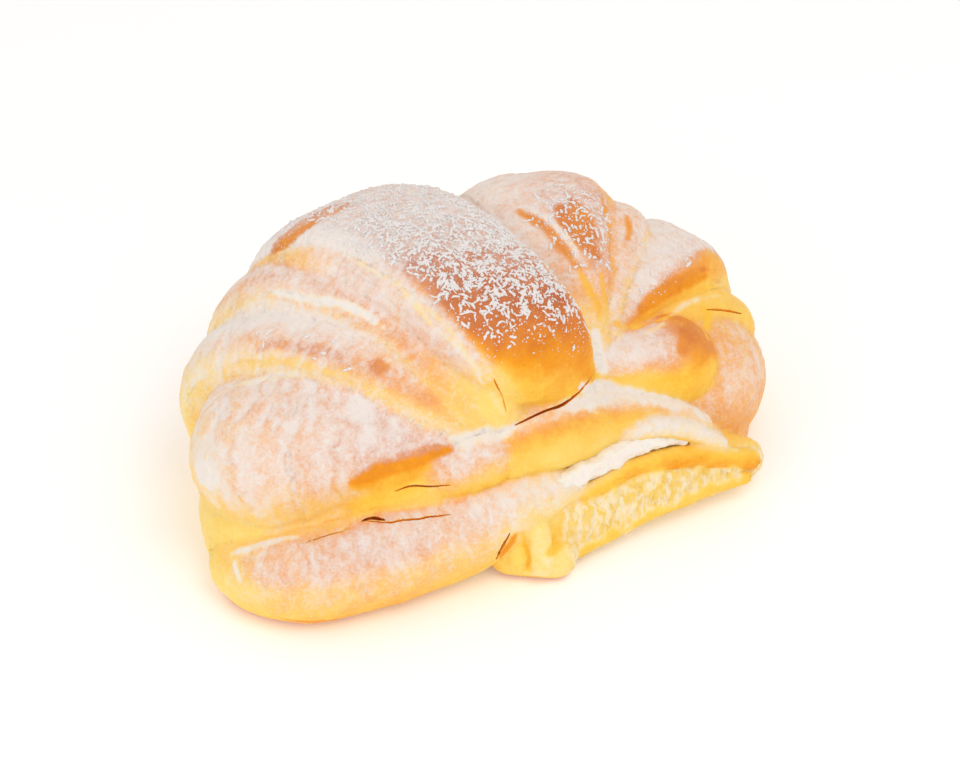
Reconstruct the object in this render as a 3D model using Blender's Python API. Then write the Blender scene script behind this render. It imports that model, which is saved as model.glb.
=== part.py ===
"""Cream-filled croissant: a fat crescent of rolled brioche dough, its wraps fanned out like a shell
from two pinched places at the front, with one horn laid along the front and the other torn open.

Frame: +Z up, the table at z = 0, -Y the front where the horns meet, X along the longest extent.
Sizes are in millimetres and are turned to metres where a mesh is made.
"""
import math
import random
from collections import namedtuple

import bmesh
import bpy
import numpy as np

MM = 0.001
PLAN_CENTRE = (3.65, 9.7)  # middle of the roll's footprint, moved to the origin

# Mesh resolution
SECTION_POINTS = 28
WRAP_STATIONS = 34
ROLL_STATIONS = 18
UNION_VOXEL = 1.0
TRIANGLE_SHARE = 0.07

# Each wrap is a flat band of dough laid over the roll. Its crest line runs from the pinch at the
# front over the top and down to the table at the back. The band faces away from a point in the
# roll, which moves from the first point of "inside" to the second along the wrap.
Wrap = namedtuple("Wrap", "name crest half_widths thickness squareness inside horn_side layers")
WRAPS = [
    Wrap(
        "last_wrap",
        [(11.5, -23, 34), (14.5, -24.3, 43.5), (12, -21, 57.5), (6, -12, 66), (1.5, 2, 71), (-3, 16, 73),
         (-8, 31, 72), (-15, 45, 67), (-19, 56, 56), (-22, 61, 38), (-21, 58, 18), (-17, 46, -4)],
        [12, 14.5, 16.7, 17.7, 18.5, 19.5, 21, 22.5, 24, 25, 25, 24], 9.5, 3.0, [(7.5, 0, 24), (-17, 20, 24)], 1, 1),
    Wrap(
        "left_wrap_1",
        [(1, -26, 37), (-2.5, -24.5, 46.5), (-5, -14, 57), (-8.5, -1, 63), (-13, 13, 66), (-20, 27, 66), (-28, 41, 60),
         (-33, 52, 48), (-35, 56, 30), (-30, 45, -4)],
        [5, 8, 9.5, 10, 10, 9, 8, 8, 8, 8], 7.0, 2.4, [(-3, 0, 22), (-22, 18, 20)], 1, 0),
    Wrap(
        "left_wrap_2",
        [(-4, -25.5, 37), (-9, -22, 47), (-13.5, -12, 55), (-18, 3, 61), (-24, 17, 64), (-31, 31, 63),
         (-39, 43, 56), (-46, 51, 42), (-49, 50, 20), (-41, 39, -4)],
        [4.5, 6.5, 8.3, 10, 11, 12, 13, 14, 14, 13], 8.5, 2.3, [(-11, 2, 20), (-27, 18, 18)], 1, 1),
    Wrap(
        "left_wrap_3",
        [(-8, -25, 36), (-13.5, -20, 45), (-21, -12, 51), (-30, 0, 55), (-39, 12, 56), (-48, 24, 53),
         (-57, 34, 44), (-63, 39, 30), (-61, 36, 14), (-53, 28, -4)],
        [4, 6, 9, 11, 11.5, 12, 13, 14, 14, 13], 8.5, 2.3, [(-17, 0, 16), (-36, 12, 14)], 1, 1),
    Wrap(
        "right_wrap_2",
        [(27, -13, 43), (29, -9, 51), (31, -1, 60), (32, 12, 66), (34, 28, 68), (36, 43, 62),
         (38, 53, 47), (40, 56, 27), (37, 44, -4)],
        [5, 7, 11, 16, 19, 20, 20, 20, 20], 9.0, 2.4, [(28, 8, 22), (30, 20, 20)], -1, 1),
    Wrap(
        "right_wrap_between",
        [(30, -12, 42), (34, -8, 48), (39, -1, 54), (45, 8, 59), (52, 19, 60), (57, 30, 55), (60, 39, 44),
         (60, 41, 26), (54, 32, -4)],
        [3, 4, 5, 7, 9, 10, 10, 10, 10], 6.0, 2.3, [(36, 8, 20), (38, 20, 18)], -1, 1),
    Wrap(
        "right_wrap_3",
        [(31, -10, 41), (37, -5, 46), (47, 2, 50.5), (57, 9, 52.5), (68, 16, 50), (77, 22, 42.5),
         (82, 26, 26), (74, 20, -4)],
        [4, 6, 9, 12, 14, 15, 15, 13], 9.0, 2.4, [(38, 4, 18), (46, 12, 16)], -1, 1),
    Wrap(
        "right_fold",
        [(32, -11, 38), (42, -8, 40), (54, -5, 41), (66, -2, 40.5), (76, -1, 37), (83, -2, 30),
         (83.5, -2, 18), (82, 0, 6)],
        [3, 4, 5, 6, 6, 6, 6, 6], 5.0, 2.4, [(44, 6, 12), (52, 10, 12)], -1, 0),
]
LAYER_STEP_ACROSS = 2.6  # how far each layer at a wrap's edge stands out past the one above it
LAYER_STEP_IN = 2.4

# Round rolls of dough: centre line and radius at each of its points; the ends are round
Roll = namedtuple("Roll", "name path radii flatness")
ROLLS = [
    Roll("left_wrap_4",
         [(-10, -20, 32), (-20, -15, 32), (-33, -7, 31), (-46, 0, 28), (-58, 4, 25), (-71, 8, 18)],
         [5, 10, 17, 21.5, 21, 17], 1.0),
    Roll("left_foot", [(-46, 24, 8), (-59, 8, 11), (-62, -7, 11), (-44, -14, 10)], [12, 12, 12, 12], 1.0),
    Roll("front_roll",
         [(-62, -2, 7), (-67, -13, 8), (-56, -24, 10.5), (-36, -27, 12.5), (-16, -28, 13.5), (-3, -29.5, 17),
          (7, -31, 19), (17, -33, 18.5)],
         [9, 10, 12, 12.8, 12, 9.5, 6.5, 2.5], 1.0),
    Roll("inner_fold",
         [(-44, -20, 22), (-24, -22.5, 26), (-10, -24.5, 30.5), (-1, -25.5, 32)],
         [5, 7, 7.5, 7], 1.0),
    Roll("lip",
         [(-12, -22, 29.5), (-2, -23.8, 30.8), (8, -24.3, 31.5), (17, -23, 30), (26, -22, 28),
          (40, -24, 25.5), (55, -29, 19)],
         [6.5, 8, 9, 9, 8, 6, 4], 1.0),
    Roll("lip_fold",
         [(26, -28, 24.5), (31, -29.5, 27.3), (37, -30, 28), (47, -31.5, 24), (57, -33.5, 16.5)],
         [1.2, 2.2, 2.6, 2.5, 2], 1.0),
    Roll("lower_lip", [(-14, -26, 17), (10, -25, 18), (34, -24, 16), (52, -27, 14.5), (64, -32, 8)],
         [7, 7, 7, 6.5, 4], 0.8),
    Roll("torn_horn",
         [(-6, -27, 9), (8, -29, 9.5), (24, -28, 10.5), (44, -26, 11), (58, -29, 9), (70, -32.5, 8)],
         [8, 10.5, 10.5, 10.5, 7.5, 4.5], 1.0),
    Roll("torn_nub",
         [(-10, -31, 4), (-3, -35, 5), (4, -38.5, 4.5), (10, -38, 3.5)], [4.5, 5.8, 5.8, 4.6], 1.0),
    Roll("nub_tongue",
         [(1, -35.5, 16.5), (0, -39, 11), (-0.5, -41, 6), (-0.5, -40.5, 2.5)], [2.2, 3, 3.2, 3], 1.0),
    Roll("nub_tongue_low", [(-4.5, -36, 12), (-5.5, -38, 7.5), (-6, -37.5, 3)], [1.8, 2.8, 2.8], 1.0),
    Roll("crust_rim",
         [(10, -34, 16), (15, -34.3, 17.5), (22, -34, 19), (28, -33, 19.8), (36, -33, 19.5),
          (45, -33.5, 18), (56, -34.5, 14.5), (66, -35, 10.5)],
         [2, 2.2, 2.5, 2.7, 2.7, 2.8, 2.8, 2.6], 1.0),
    Roll("rind_rim",
         [(8, -39, 3.5), (24, -37.5, 5.5), (44, -35.5, 7), (64, -35, 7)], [2, 2.4, 2.4, 2.6], 1.0),
    Roll("right_nub",
         [(24, -11, 36), (37, -13, 34.5), (50, -12.5, 32), (63, -11, 29)], [5, 8.5, 12, 11.5], 1.0),
    Roll("right_tip", [(60, 8, 43), (69, 8, 42.5), (77, 8.5, 39)], [4, 5.5, 5], 1.0),
    Roll("right_bulk", [(24, 0, 18), (48, -3, 17), (64, -3, 17), (84, -4, 16)], [20, 22, 22, 22], 0.92),
]
CORE = [
    ((-2, 16, 28), (60, 42, 35)),
    ((-14, -2, 30), (18, 16, 24)),
    ((0, -6, 18), (62, 22, 20)),
    ((14, 32, 30), (34, 22, 32)),
    ((54, 18, 22), (26, 22, 25)),
    ((-6, 12, 6), (62, 30, 14)),
    ((44, -6, 6), (34, 26, 12)),
]

# Strands of torn crumb that stand out of the broken face of the torn horn
TORN_FACE = [(8, -40, 9), (24, -38.5, 10), (44, -36.5, 11), (66, -36, 10)]
STRANDS = 46
STRAND_SPAN = (11.0, 61.0)
STRAND_RADIUS = (0.9, 1.6)
STRAND_LENGTH = (5.0, 10.0)

# The cream: a flat layer between the lip and the horn below it. Its middle line runs along the
# seam; it reaches from the front of the seam back into the roll. A bead of it is pressed out at
# the front and lies on the torn horn's rim.
CREAM_PATH = [(-8, -8, 23), (8, -8, 22), (26, -8, 22), (44, -8.5, 22.5), (61, -14, 20.5)]
CREAM_HALF_DEPTH = [12, 14, 18.5, 23, 13]
CREAM_HALF_HEIGHT = 2.5
CREAM_BEAD = [(12, -33, 19.5), (20, -31.5, 21.4), (26, -31, 22.6), (32.5, -30.7, 24.2), (37.5, -30.7, 23.8),
              (43, -31.5, 21.5)]
CREAM_BEAD_RADII = [1.2, 2, 2.2, 2.1, 2, 1.2]
CREAM_STATIONS = 20
CREAM_GAP = 0.3  # clear space between the cream and the dough around it


def unit(vectors):
    """The same directions, each one long."""
    return vectors / np.maximum(np.linalg.norm(vectors, axis=-1, keepdims=True), 1e-9)


def smooth_path(points, count):
    """A smooth line through the points, and the share of the way from one to the next."""
    points = np.asarray(points, float)
    padded = np.vstack([2 * points[0] - points[1], points, 2 * points[-1] - points[-2]])
    place = np.linspace(0, len(points) - 1, count)
    first = np.minimum(place.astype(int), len(points) - 2)
    share = (place - first)[:, None]
    a, b, c, d = (padded[first + step] for step in range(4))
    line = 2 * b + (c - a) * share
    line += (2 * a - 5 * b + 4 * c - d) * share ** 2
    line += (3 * b - a - 3 * c + d) * share ** 3
    return line / 2, place


def evenly_placed(points, radii, count):
    """The smooth line with its stations at even lengths, and the radii there."""
    fine, place = smooth_path(points, 400)
    lengths = np.concatenate([[0], np.cumsum(np.linalg.norm(np.diff(fine, axis=0), axis=1))])
    wanted = np.linspace(0, lengths[-1], count)
    centres = np.stack([np.interp(wanted, lengths, fine[:, axis]) for axis in range(3)], 1)
    where = np.interp(wanted, lengths, place)
    return centres, np.interp(where, range(len(radii)), radii), wanted


def end_rounding(lengths, first_radius, last_radius):
    """How much of its width a tube has at each station, when both its ends are round."""
    rounding = np.ones(len(lengths))
    for from_end, radius in ((lengths, first_radius), (lengths[-1] - lengths, last_radius)):
        inside = np.clip(1 - from_end / radius, 0, 1)
        rounding *= np.sqrt(1 - inside ** 2)
    return np.maximum(rounding, 0.02)


def tube(name, centres, across, outward, half_widths, half_thicknesses, exponent=2.4):
    """A closed tube with a squarish oval section, round or flat, along the stations."""
    angles = np.linspace(0, 2 * math.pi, SECTION_POINTS, endpoint=False)
    side = np.sign(np.cos(angles)) * np.abs(np.cos(angles)) ** (2 / exponent)
    up = np.sign(np.sin(angles)) * np.abs(np.sin(angles)) ** (2 / exponent)
    wide = np.broadcast_to(half_widths, len(centres))[:, None, None]
    thick = np.broadcast_to(half_thicknesses, len(centres))[:, None, None]
    rings = centres[:, None, :] + across[:, None, :] * side[None, :, None] * wide
    rings = rings + outward[:, None, :] * up[None, :, None] * thick
    count = len(centres)
    points = np.vstack([rings.reshape(-1, 3), centres[:1], centres[-1:]])
    points[:, :2] -= PLAN_CENTRE
    faces = []
    for ring in range(count - 1):
        for step in range(SECTION_POINTS):
            following = (step + 1) % SECTION_POINTS
            low, high = ring * SECTION_POINTS, (ring + 1) * SECTION_POINTS
            faces.append((low + step, low + following, high + following, high + step))
    for step in range(SECTION_POINTS):
        following = (step + 1) % SECTION_POINTS
        last = (count - 1) * SECTION_POINTS
        faces.append((following, step, count * SECTION_POINTS))
        faces.append((last + step, last + following, count * SECTION_POINTS + 1))
    mesh = bpy.data.meshes.new(name)
    mesh.from_pydata(points * MM, [], faces)
    return mesh


def frame_along(centres, inside, lengths):
    """Directions across the band and out of the roll at each station."""
    tangents = unit(np.gradient(centres, axis=0))
    share = (lengths / lengths[-1])[:, None]
    first, last = np.asarray(inside, float)
    outward = centres - first * (1 - share) - last * share
    outward = unit(outward - tangents * np.sum(outward * tangents, axis=1, keepdims=True))
    return np.cross(tangents, outward), outward


def wrap_meshes(wrap):
    """The band of a wrap, and the lower layers that stand out from its edge."""
    crest, widths, lengths = evenly_placed(wrap.crest, wrap.half_widths, WRAP_STATIONS)
    across, outward = frame_along(crest, wrap.inside, lengths)
    rounding = end_rounding(lengths, 4.0, 4.0)
    thickness = wrap.thickness * np.minimum(rounding, np.minimum(widths / wrap.thickness, 1))
    for layer in range(wrap.layers + 1):
        grow = np.clip(lengths / lengths[-1] * 3, 0, 1)[:, None] * layer
        centres = crest - outward * thickness[:, None]
        centres = centres - across * grow * wrap.horn_side * LAYER_STEP_ACROSS
        centres = centres - outward * grow * LAYER_STEP_IN
        half_widths = widths * rounding
        yield tube(f"{wrap.name}_{layer}", centres, across, outward, half_widths, thickness, wrap.squareness)


def roll_mesh(roll):
    """A round roll of dough along its centre line."""
    centres, radii, lengths = evenly_placed(roll.path, roll.radii, ROLL_STATIONS)
    tangents = unit(np.gradient(centres, axis=0))
    across = unit(np.cross(tangents, [0.0, 0.0, 1.0]))
    outward = np.cross(across, tangents)
    rounding = end_rounding(lengths, roll.radii[0], roll.radii[-1])
    radii = radii * rounding
    return tube(roll.name, centres, across, outward, radii, radii * roll.flatness, 2.1)


def blob_mesh(name, centre, radii):
    """An egg-shaped body that fills the inside of the roll."""
    place = -np.cos(np.linspace(0, math.pi, ROLL_STATIONS))
    centres = np.array(centre, float) + place[:, None] * np.array([radii[0], 0.0, 0.0])
    across = np.tile([0.0, 1.0, 0.0], (ROLL_STATIONS, 1))
    outward = np.tile([0.0, 0.0, 1.0], (ROLL_STATIONS, 1))
    size = np.maximum(np.sqrt(1 - place ** 2), 0.02)
    return tube(name, centres, across, outward, size * radii[1], size * radii[2], 2.2)


def strand_meshes():
    """Small upright strands of crumb, scattered along the torn face and leaning at random."""
    chance = random.Random(7)
    face, _, _ = evenly_placed(TORN_FACE, [1] * len(TORN_FACE), 60)
    for number in range(STRANDS):
        x = chance.uniform(*STRAND_SPAN)
        middle = np.array([x, np.interp(x, face[:, 0], face[:, 1]), np.interp(x, face[:, 0], face[:, 2])])
        middle += [0, chance.uniform(0.2, 1.8), chance.uniform(-3.0, 3.0)]
        lean = np.array([chance.gauss(0, 0.3), 0.25 * (middle[2] - 9) / 9 + 0.2, 1.0])
        half = lean * chance.uniform(*STRAND_LENGTH) / 2
        radius = chance.uniform(*STRAND_RADIUS)
        yield roll_mesh(Roll(f"strand_{number}", [middle - half, middle, middle + half], [radius] * 3, 1.0))


def cream_mesh(name, gap):
    """The layer of cream, or with a gap the hollow that it lies in."""
    centres, depths, lengths = evenly_placed(CREAM_PATH, CREAM_HALF_DEPTH, CREAM_STATIONS)
    tangents = unit(np.gradient(centres, axis=0))
    across = unit(np.cross(tangents, [0.0, 0.0, 1.0]))
    outward = np.cross(across, tangents)
    if gap:
        centres = centres + tangents * (np.linspace(-gap, gap, len(centres))[:, None])
    rounding = end_rounding(lengths, 6.0, 6.0)
    depths, heights = depths * rounding + gap, CREAM_HALF_HEIGHT * rounding + gap
    return tube(name, centres, across, outward, depths, heights, 2.6)


def bead_mesh(name, gap):
    """The bead of cream along the seam, or with a gap the groove that it lies in."""
    return roll_mesh(Roll(name, CREAM_BEAD, [radius + gap for radius in CREAM_BEAD_RADII], 1.0))


def below_table():
    """A box whose top is the table, to cut the flat base with."""
    box = bmesh.new()
    bmesh.ops.create_cube(box, size=1.0)
    bmesh.ops.scale(box, vec=(0.4, 0.4, 0.04), verts=box.verts)
    bmesh.ops.translate(box, vec=(0.0, 0.0, -0.02), verts=box.verts)
    mesh = bpy.data.meshes.new("below_table")
    box.to_mesh(mesh)
    box.free()
    return mesh


def joined(name, meshes):
    """One object of all the closed meshes, each with its faces turned outward."""
    merged = bmesh.new()
    for mesh in meshes:
        piece = bmesh.new()
        piece.from_mesh(mesh)
        if piece.calc_volume(signed=True) < 0:
            bmesh.ops.reverse_faces(piece, faces=piece.faces)
        piece.to_mesh(mesh)
        piece.free()
        merged.from_mesh(mesh)
        bpy.data.meshes.remove(mesh)
    whole = bpy.data.meshes.new(name)
    merged.to_mesh(whole)
    merged.free()
    body = bpy.data.objects.new(name, whole)
    bpy.context.scene.collection.objects.link(body)
    return body


def combine(body, other, operation):
    """Takes the other's room out of the body, or adds it to the body, and hides the other."""
    other.hide_render = True
    other.display_type = "WIRE"
    step = body.modifiers.new(other.name, "BOOLEAN")
    step.operation = operation
    step.object = other


def give_material(body, name, colour, roughness):
    """Makes the material of a body and shades the body smooth."""
    material = bpy.data.materials.new(name)
    material.use_nodes = True
    shader = material.node_tree.nodes["Principled BSDF"]
    shader.inputs["Base Color"].default_value = (*colour, 1.0)
    shader.inputs["Roughness"].default_value = roughness
    shader.inputs["Metallic"].default_value = 0.0
    body.data.materials.append(material)
    body.data.polygons.foreach_set("use_smooth", [True] * len(body.data.polygons))


def main():
    for existing in list(bpy.data.objects):
        bpy.data.objects.remove(existing)
    meshes = [mesh for wrap in WRAPS for mesh in wrap_meshes(wrap)]
    meshes += [roll_mesh(roll) for roll in ROLLS]
    meshes += [blob_mesh(f"core_{number}", *blob) for number, blob in enumerate(CORE)]
    meshes += list(strand_meshes())
    dough = joined("croissant", meshes)
    give_material(dough, "baked_dough", (0.72, 0.42, 0.14), 0.6)
    skin = dough.modifiers.new("one skin", "REMESH")
    skin.mode = "VOXEL"
    skin.voxel_size = UNION_VOXEL * MM
    skin.use_smooth_shade = True
    fewer = dough.modifiers.new("fewer triangles", "DECIMATE")
    fewer.ratio = TRIANGLE_SHARE
    table_cut = joined("table_cut", [below_table()])
    combine(dough, table_cut, "DIFFERENCE")
    combine(dough, joined("cream_hollow", [cream_mesh("cream_hollow", CREAM_GAP)]), "DIFFERENCE")
    combine(dough, joined("bead_hollow", [bead_mesh("bead_hollow", CREAM_GAP)]), "DIFFERENCE")
    cream = joined("cream", [cream_mesh("cream", 0.0)])
    combine(cream, joined("cream_bead", [bead_mesh("cream_bead", 0.0)]), "UNION")
    give_material(cream, "pastry_cream", (0.92, 0.86, 0.74), 0.45)


main()
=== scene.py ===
"""Cream-filled croissant: baked egg dough in fanned wraps, cream in the seam, powdered sugar on top.

Lengths in the tables are millimetres in the table frame of the solids; they are moved to the
solids' origin and turned to metres where a mesh is made.
"""
import itertools
import math
import random
from collections import namedtuple

import bmesh
import bpy
import numpy as np
from bpy.props import FloatProperty, FloatVectorProperty, IntProperty, PointerProperty
from mathutils import Matrix, Vector
from mathutils.kdtree import KDTree


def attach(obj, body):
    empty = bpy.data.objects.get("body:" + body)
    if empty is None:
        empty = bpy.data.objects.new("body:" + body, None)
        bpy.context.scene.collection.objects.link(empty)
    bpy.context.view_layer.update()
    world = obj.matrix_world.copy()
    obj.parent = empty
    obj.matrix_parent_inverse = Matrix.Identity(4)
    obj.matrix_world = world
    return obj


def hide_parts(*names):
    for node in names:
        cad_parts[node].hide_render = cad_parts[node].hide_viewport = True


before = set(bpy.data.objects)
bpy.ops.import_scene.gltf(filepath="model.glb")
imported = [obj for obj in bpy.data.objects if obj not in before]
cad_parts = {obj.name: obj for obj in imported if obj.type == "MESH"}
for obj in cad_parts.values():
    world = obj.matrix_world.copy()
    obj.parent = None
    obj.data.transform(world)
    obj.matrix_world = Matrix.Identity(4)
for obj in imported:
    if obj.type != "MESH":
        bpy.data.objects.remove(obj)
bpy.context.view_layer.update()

bl_info = {
    "name": "Cream-filled croissant",
    "version": (1, 0, 0),
    "blender": (4, 5, 0),
    "location": "View3D > Sidebar > Croissant",
    "description": "Builds a sugared croissant with cream in its seam over its solid model",
    "category": "Add Mesh",
}

MM = 0.001
PLAN_CENTRE = np.array([3.65, 9.7, 0.0])  # the solids' origin in the table frame

# The dough's lobes, as in the solids

# A wrap: the line of its crest, its half widths there, its half thickness, how square its section is,
# the line inside the roll that it bends round, the side that its edge towards the horn is on, and how
# many layers show below that edge
Wrap = namedtuple("Wrap", "name crest half_widths thickness squareness inside horn_side layers")
WRAPS = [
    Wrap(
        "last_wrap",
        [(11.5, -23, 34), (14.5, -24.3, 43.5), (12, -21, 57.5), (6, -12, 66), (1.5, 2, 71), (-3, 16, 73),
         (-8, 31, 72), (-15, 45, 67), (-19, 56, 56), (-22, 61, 38), (-21, 58, 18), (-17, 46, -4)],
        [12, 14.5, 16.7, 17.7, 18.5, 19.5, 21, 22.5, 24, 25, 25, 24], 9.5, 3.0,
        [(7.5, 0, 24), (-17, 20, 24)], 1, 1),
    Wrap(
        "left_wrap_1",
        [(1, -26, 37), (-2.5, -24.5, 46.5), (-5, -14, 57), (-8.5, -1, 63), (-13, 13, 66), (-20, 27, 66),
         (-28, 41, 60), (-33, 52, 48), (-35, 56, 30), (-30, 45, -4)],
        [5, 8, 9.5, 10, 10, 9, 8, 8, 8, 8], 7.0, 2.4, [(-3, 0, 22), (-22, 18, 20)], 1, 0),
    Wrap(
        "left_wrap_2",
        [(-4, -25.5, 37), (-9, -22, 47), (-13.5, -12, 55), (-18, 3, 61), (-24, 17, 64), (-31, 31, 63),
         (-39, 43, 56), (-46, 51, 42), (-49, 50, 20), (-41, 39, -4)],
        [4.5, 6.5, 8.3, 10, 11, 12, 13, 14, 14, 13], 8.5, 2.3, [(-11, 2, 20), (-27, 18, 18)], 1, 1),
    Wrap(
        "left_wrap_3",
        [(-8, -25, 36), (-13.5, -20, 45), (-21, -12, 51), (-30, 0, 55), (-39, 12, 56), (-48, 24, 53),
         (-57, 34, 44), (-63, 39, 30), (-61, 36, 14), (-53, 28, -4)],
        [4, 6, 9, 11, 11.5, 12, 13, 14, 14, 13], 8.5, 2.3, [(-17, 0, 16), (-36, 12, 14)], 1, 1),
    Wrap(
        "right_wrap_2",
        [(27, -13, 43), (29, -9, 51), (31, -1, 60), (32, 12, 66), (34, 28, 68), (36, 43, 62),
         (38, 53, 47), (40, 56, 27), (37, 44, -4)],
        [5, 7, 11, 16, 19, 20, 20, 20, 20], 9.0, 2.4, [(28, 8, 22), (30, 20, 20)], -1, 1),
    Wrap(
        "right_wrap_between",
        [(30, -12, 42), (34, -8, 48), (39, -1, 54), (45, 8, 59), (52, 19, 60), (57, 30, 55), (60, 39, 44),
         (60, 41, 26), (54, 32, -4)],
        [3, 4, 5, 7, 9, 10, 10, 10, 10], 6.0, 2.3, [(36, 8, 20), (38, 20, 18)], -1, 1),
    Wrap(
        "right_wrap_3",
        [(31, -10, 41), (37, -5, 46), (47, 2, 50.5), (57, 9, 52.5), (68, 16, 50), (77, 22, 42.5),
         (82, 26, 26), (74, 20, -4)],
        [4, 6, 9, 12, 14, 15, 15, 13], 9.0, 2.4, [(38, 4, 18), (46, 12, 16)], -1, 1),
    Wrap(
        "right_fold",
        [(32, -11, 38), (42, -8, 40), (54, -5, 41), (66, -2, 40.5), (76, -1, 37), (83, -2, 30),
         (83.5, -2, 18), (82, 0, 6)],
        [3, 4, 5, 6, 6, 6, 6, 6], 5.0, 2.4, [(44, 6, 12), (52, 10, 12)], -1, 0),
]
LAYER_STEP_ACROSS = 2.6
LAYER_STEP_IN = 2.4

# A roll: its centre line, its radii there, and its height as a share of its width
Roll = namedtuple("Roll", "name path radii flatness", defaults=(1.0,))
ROLLS = [
    Roll("left_wrap_4",
         [(-10, -20, 32), (-20, -15, 32), (-33, -7, 31), (-46, 0, 28), (-58, 4, 25), (-71, 8, 18)],
         [5, 10, 17, 21.5, 21, 17]),
    Roll("left_foot", [(-46, 24, 8), (-59, 8, 11), (-62, -7, 11), (-44, -14, 10)], [12, 12, 12, 12]),
    Roll("front_roll",
         [(-62, -2, 7), (-67, -13, 8), (-56, -24, 10.5), (-36, -27, 12.5), (-16, -28, 13.5),
          (-3, -29.5, 17), (7, -31, 19), (17, -33, 18.5)],
         [9, 10, 12, 12.8, 12, 9.5, 6.5, 2.5]),
    Roll("inner_fold",
         [(-44, -20, 22), (-24, -22.5, 26), (-10, -24.5, 30.5), (-1, -25.5, 32)],
         [5, 7, 7.5, 7]),
    Roll("lip",
         [(-12, -22, 29.5), (-2, -23.8, 30.8), (8, -24.3, 31.5), (17, -23, 30), (26, -22, 28),
          (40, -24, 25.5), (55, -29, 19)],
         [6.5, 8, 9, 9, 8, 6, 4]),
    Roll("lip_fold",
         [(26, -28, 24.5), (31, -29.5, 27.3), (37, -30, 28), (47, -31.5, 24), (57, -33.5, 16.5)],
         [1.2, 2.2, 2.6, 2.5, 2]),
    Roll("lower_lip", [(-14, -26, 17), (10, -25, 18), (34, -24, 16), (52, -27, 14.5), (64, -32, 8)],
         [7, 7, 7, 6.5, 4], 0.8),
    Roll("torn_horn",
         [(-6, -27, 9), (8, -29, 9.5), (24, -28, 10.5), (44, -26, 11), (58, -29, 9), (70, -32.5, 8)],
         [8, 10.5, 10.5, 10.5, 7.5, 4.5]),
    Roll("torn_nub",
         [(-10, -31, 4), (-3, -35, 5), (4, -38.5, 4.5), (10, -38, 3.5)], [4.5, 5.8, 5.8, 4.6]),
    Roll("nub_tongue",
         [(1, -35.5, 16.5), (0, -39, 11), (-0.5, -41, 6), (-0.5, -40.5, 2.5)], [2.2, 3, 3.2, 3]),
    Roll("nub_tongue_low", [(-4.5, -36, 12), (-5.5, -38, 7.5), (-6, -37.5, 3)], [1.8, 2.8, 2.8]),
    Roll("crust_rim",
         [(10, -34, 16), (15, -34.3, 17.5), (22, -34, 19), (28, -33, 19.8), (36, -33, 19.5),
          (45, -33.5, 18), (56, -34.5, 14.5), (66, -35, 10.5)],
         [2, 2.2, 2.5, 2.7, 2.7, 2.8, 2.8, 2.6]),
    Roll("rind_rim",
         [(8, -39, 3.5), (24, -37.5, 5.5), (44, -35.5, 7), (64, -35, 7)], [2, 2.4, 2.4, 2.6]),
    Roll("right_nub",
         [(24, -11, 36), (37, -13, 34.5), (50, -12.5, 32), (63, -11, 29)], [5, 8.5, 12, 11.5]),
    Roll("right_tip", [(60, 8, 43), (69, 8, 42.5), (77, 8.5, 39)], [4, 5.5, 5]),
    Roll("right_bulk", [(24, 0, 18), (48, -3, 17), (64, -3, 17), (84, -4, 16)], [20, 22, 22, 22], 0.92),
]
# Egg-shaped bodies that fill the inside: their middles and radii
CORE = [
    ((-2, 16, 28), (60, 42, 35)),
    ((-14, -2, 30), (18, 16, 24)),
    ((0, -6, 18), (62, 22, 20)),
    ((14, 32, 30), (34, 22, 32)),
    ((54, 18, 22), (26, 22, 25)),
    ((-6, 12, 6), (62, 30, 14)),
    ((44, -6, 6), (34, 26, 12)),
]
# The layer of cream in the seam, and the bead that is pressed out at its front
CREAM_PATH = [(-8, -8, 23), (8, -8, 22), (26, -8, 22), (44, -8.5, 22.5), (61, -14, 20.5)]
CREAM_HALF_DEPTH = [12, 14, 18.5, 23, 13]
CREAM_HALF_HEIGHT = 2.5
CREAM_BEAD = [(3, -33.5, 21.4), (8, -33.2, 22.4), (13, -32.8, 23.2), (19, -32, 23.6), (26, -31.2, 23.9),
              (32.5, -30.7, 24.8), (38, -30.7, 24.2), (46, -31.5, 21.5)]
CREAM_BEAD_RADII = [1.4, 2.3, 2.8, 2.9, 2.9, 2.6, 2.4, 1.3]
CREAM_GAP = 0.3  # room left between the cream and the dough

# Thin gaps cut between lobes, dark from their own shade and from painted shade on their walls: the
# line they run along on the skin, half depth, half opening, and the bake of their walls, a painted shade
Slit = namedtuple("Slit", "path depth opening bake")
SLITS = [
    Slit([(-1, -26, 39), (7, -25, 39.3), (13, -24.5, 39.6), (19, -23, 41), (24, -20.5, 42.5)],
         2.4, 0.42, 0.6),
    Slit([(-42, -27, 24.6), (-38, -30, 25), (-34, -31, 24.8), (-29, -32, 24.4), (-22, -33.5, 24)],
         1.8, 0.3, 0.55),
    Slit([(-43, -27, 26), (-40, -27.5, 25.4), (-37.5, -29.5, 25)], 2.8, 0.55, 0.9),
    Slit([(-33, -25, 29), (-29, -26, 30), (-25, -28, 30), (-20, -30, 30)], 1.2, 0.25, 0.5),
    Slit([(-58, -26, 22), (-52, -26.5, 22.6), (-46, -27, 24)], 0.9, 0.22, 0.5),
    Slit([(-6.5, -25, 55), (-5, -25, 51), (-3.5, -25.5, 47), (-3, -26, 44)], 1.4, 0.28, 0.5),
    Slit([(66, -5, 39), (72, -5, 37), (78, -4, 33)], 1.0, 0.3, 0.5),
    Slit([(-13, -37, 9), (-11, -38, 13), (-8, -36, 17), (-3, -34, 19)], 2.6, 0.5, 0.66),
]
SLIT_REACH = 3.5  # the skin within this reach says which way a gap goes in

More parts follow.
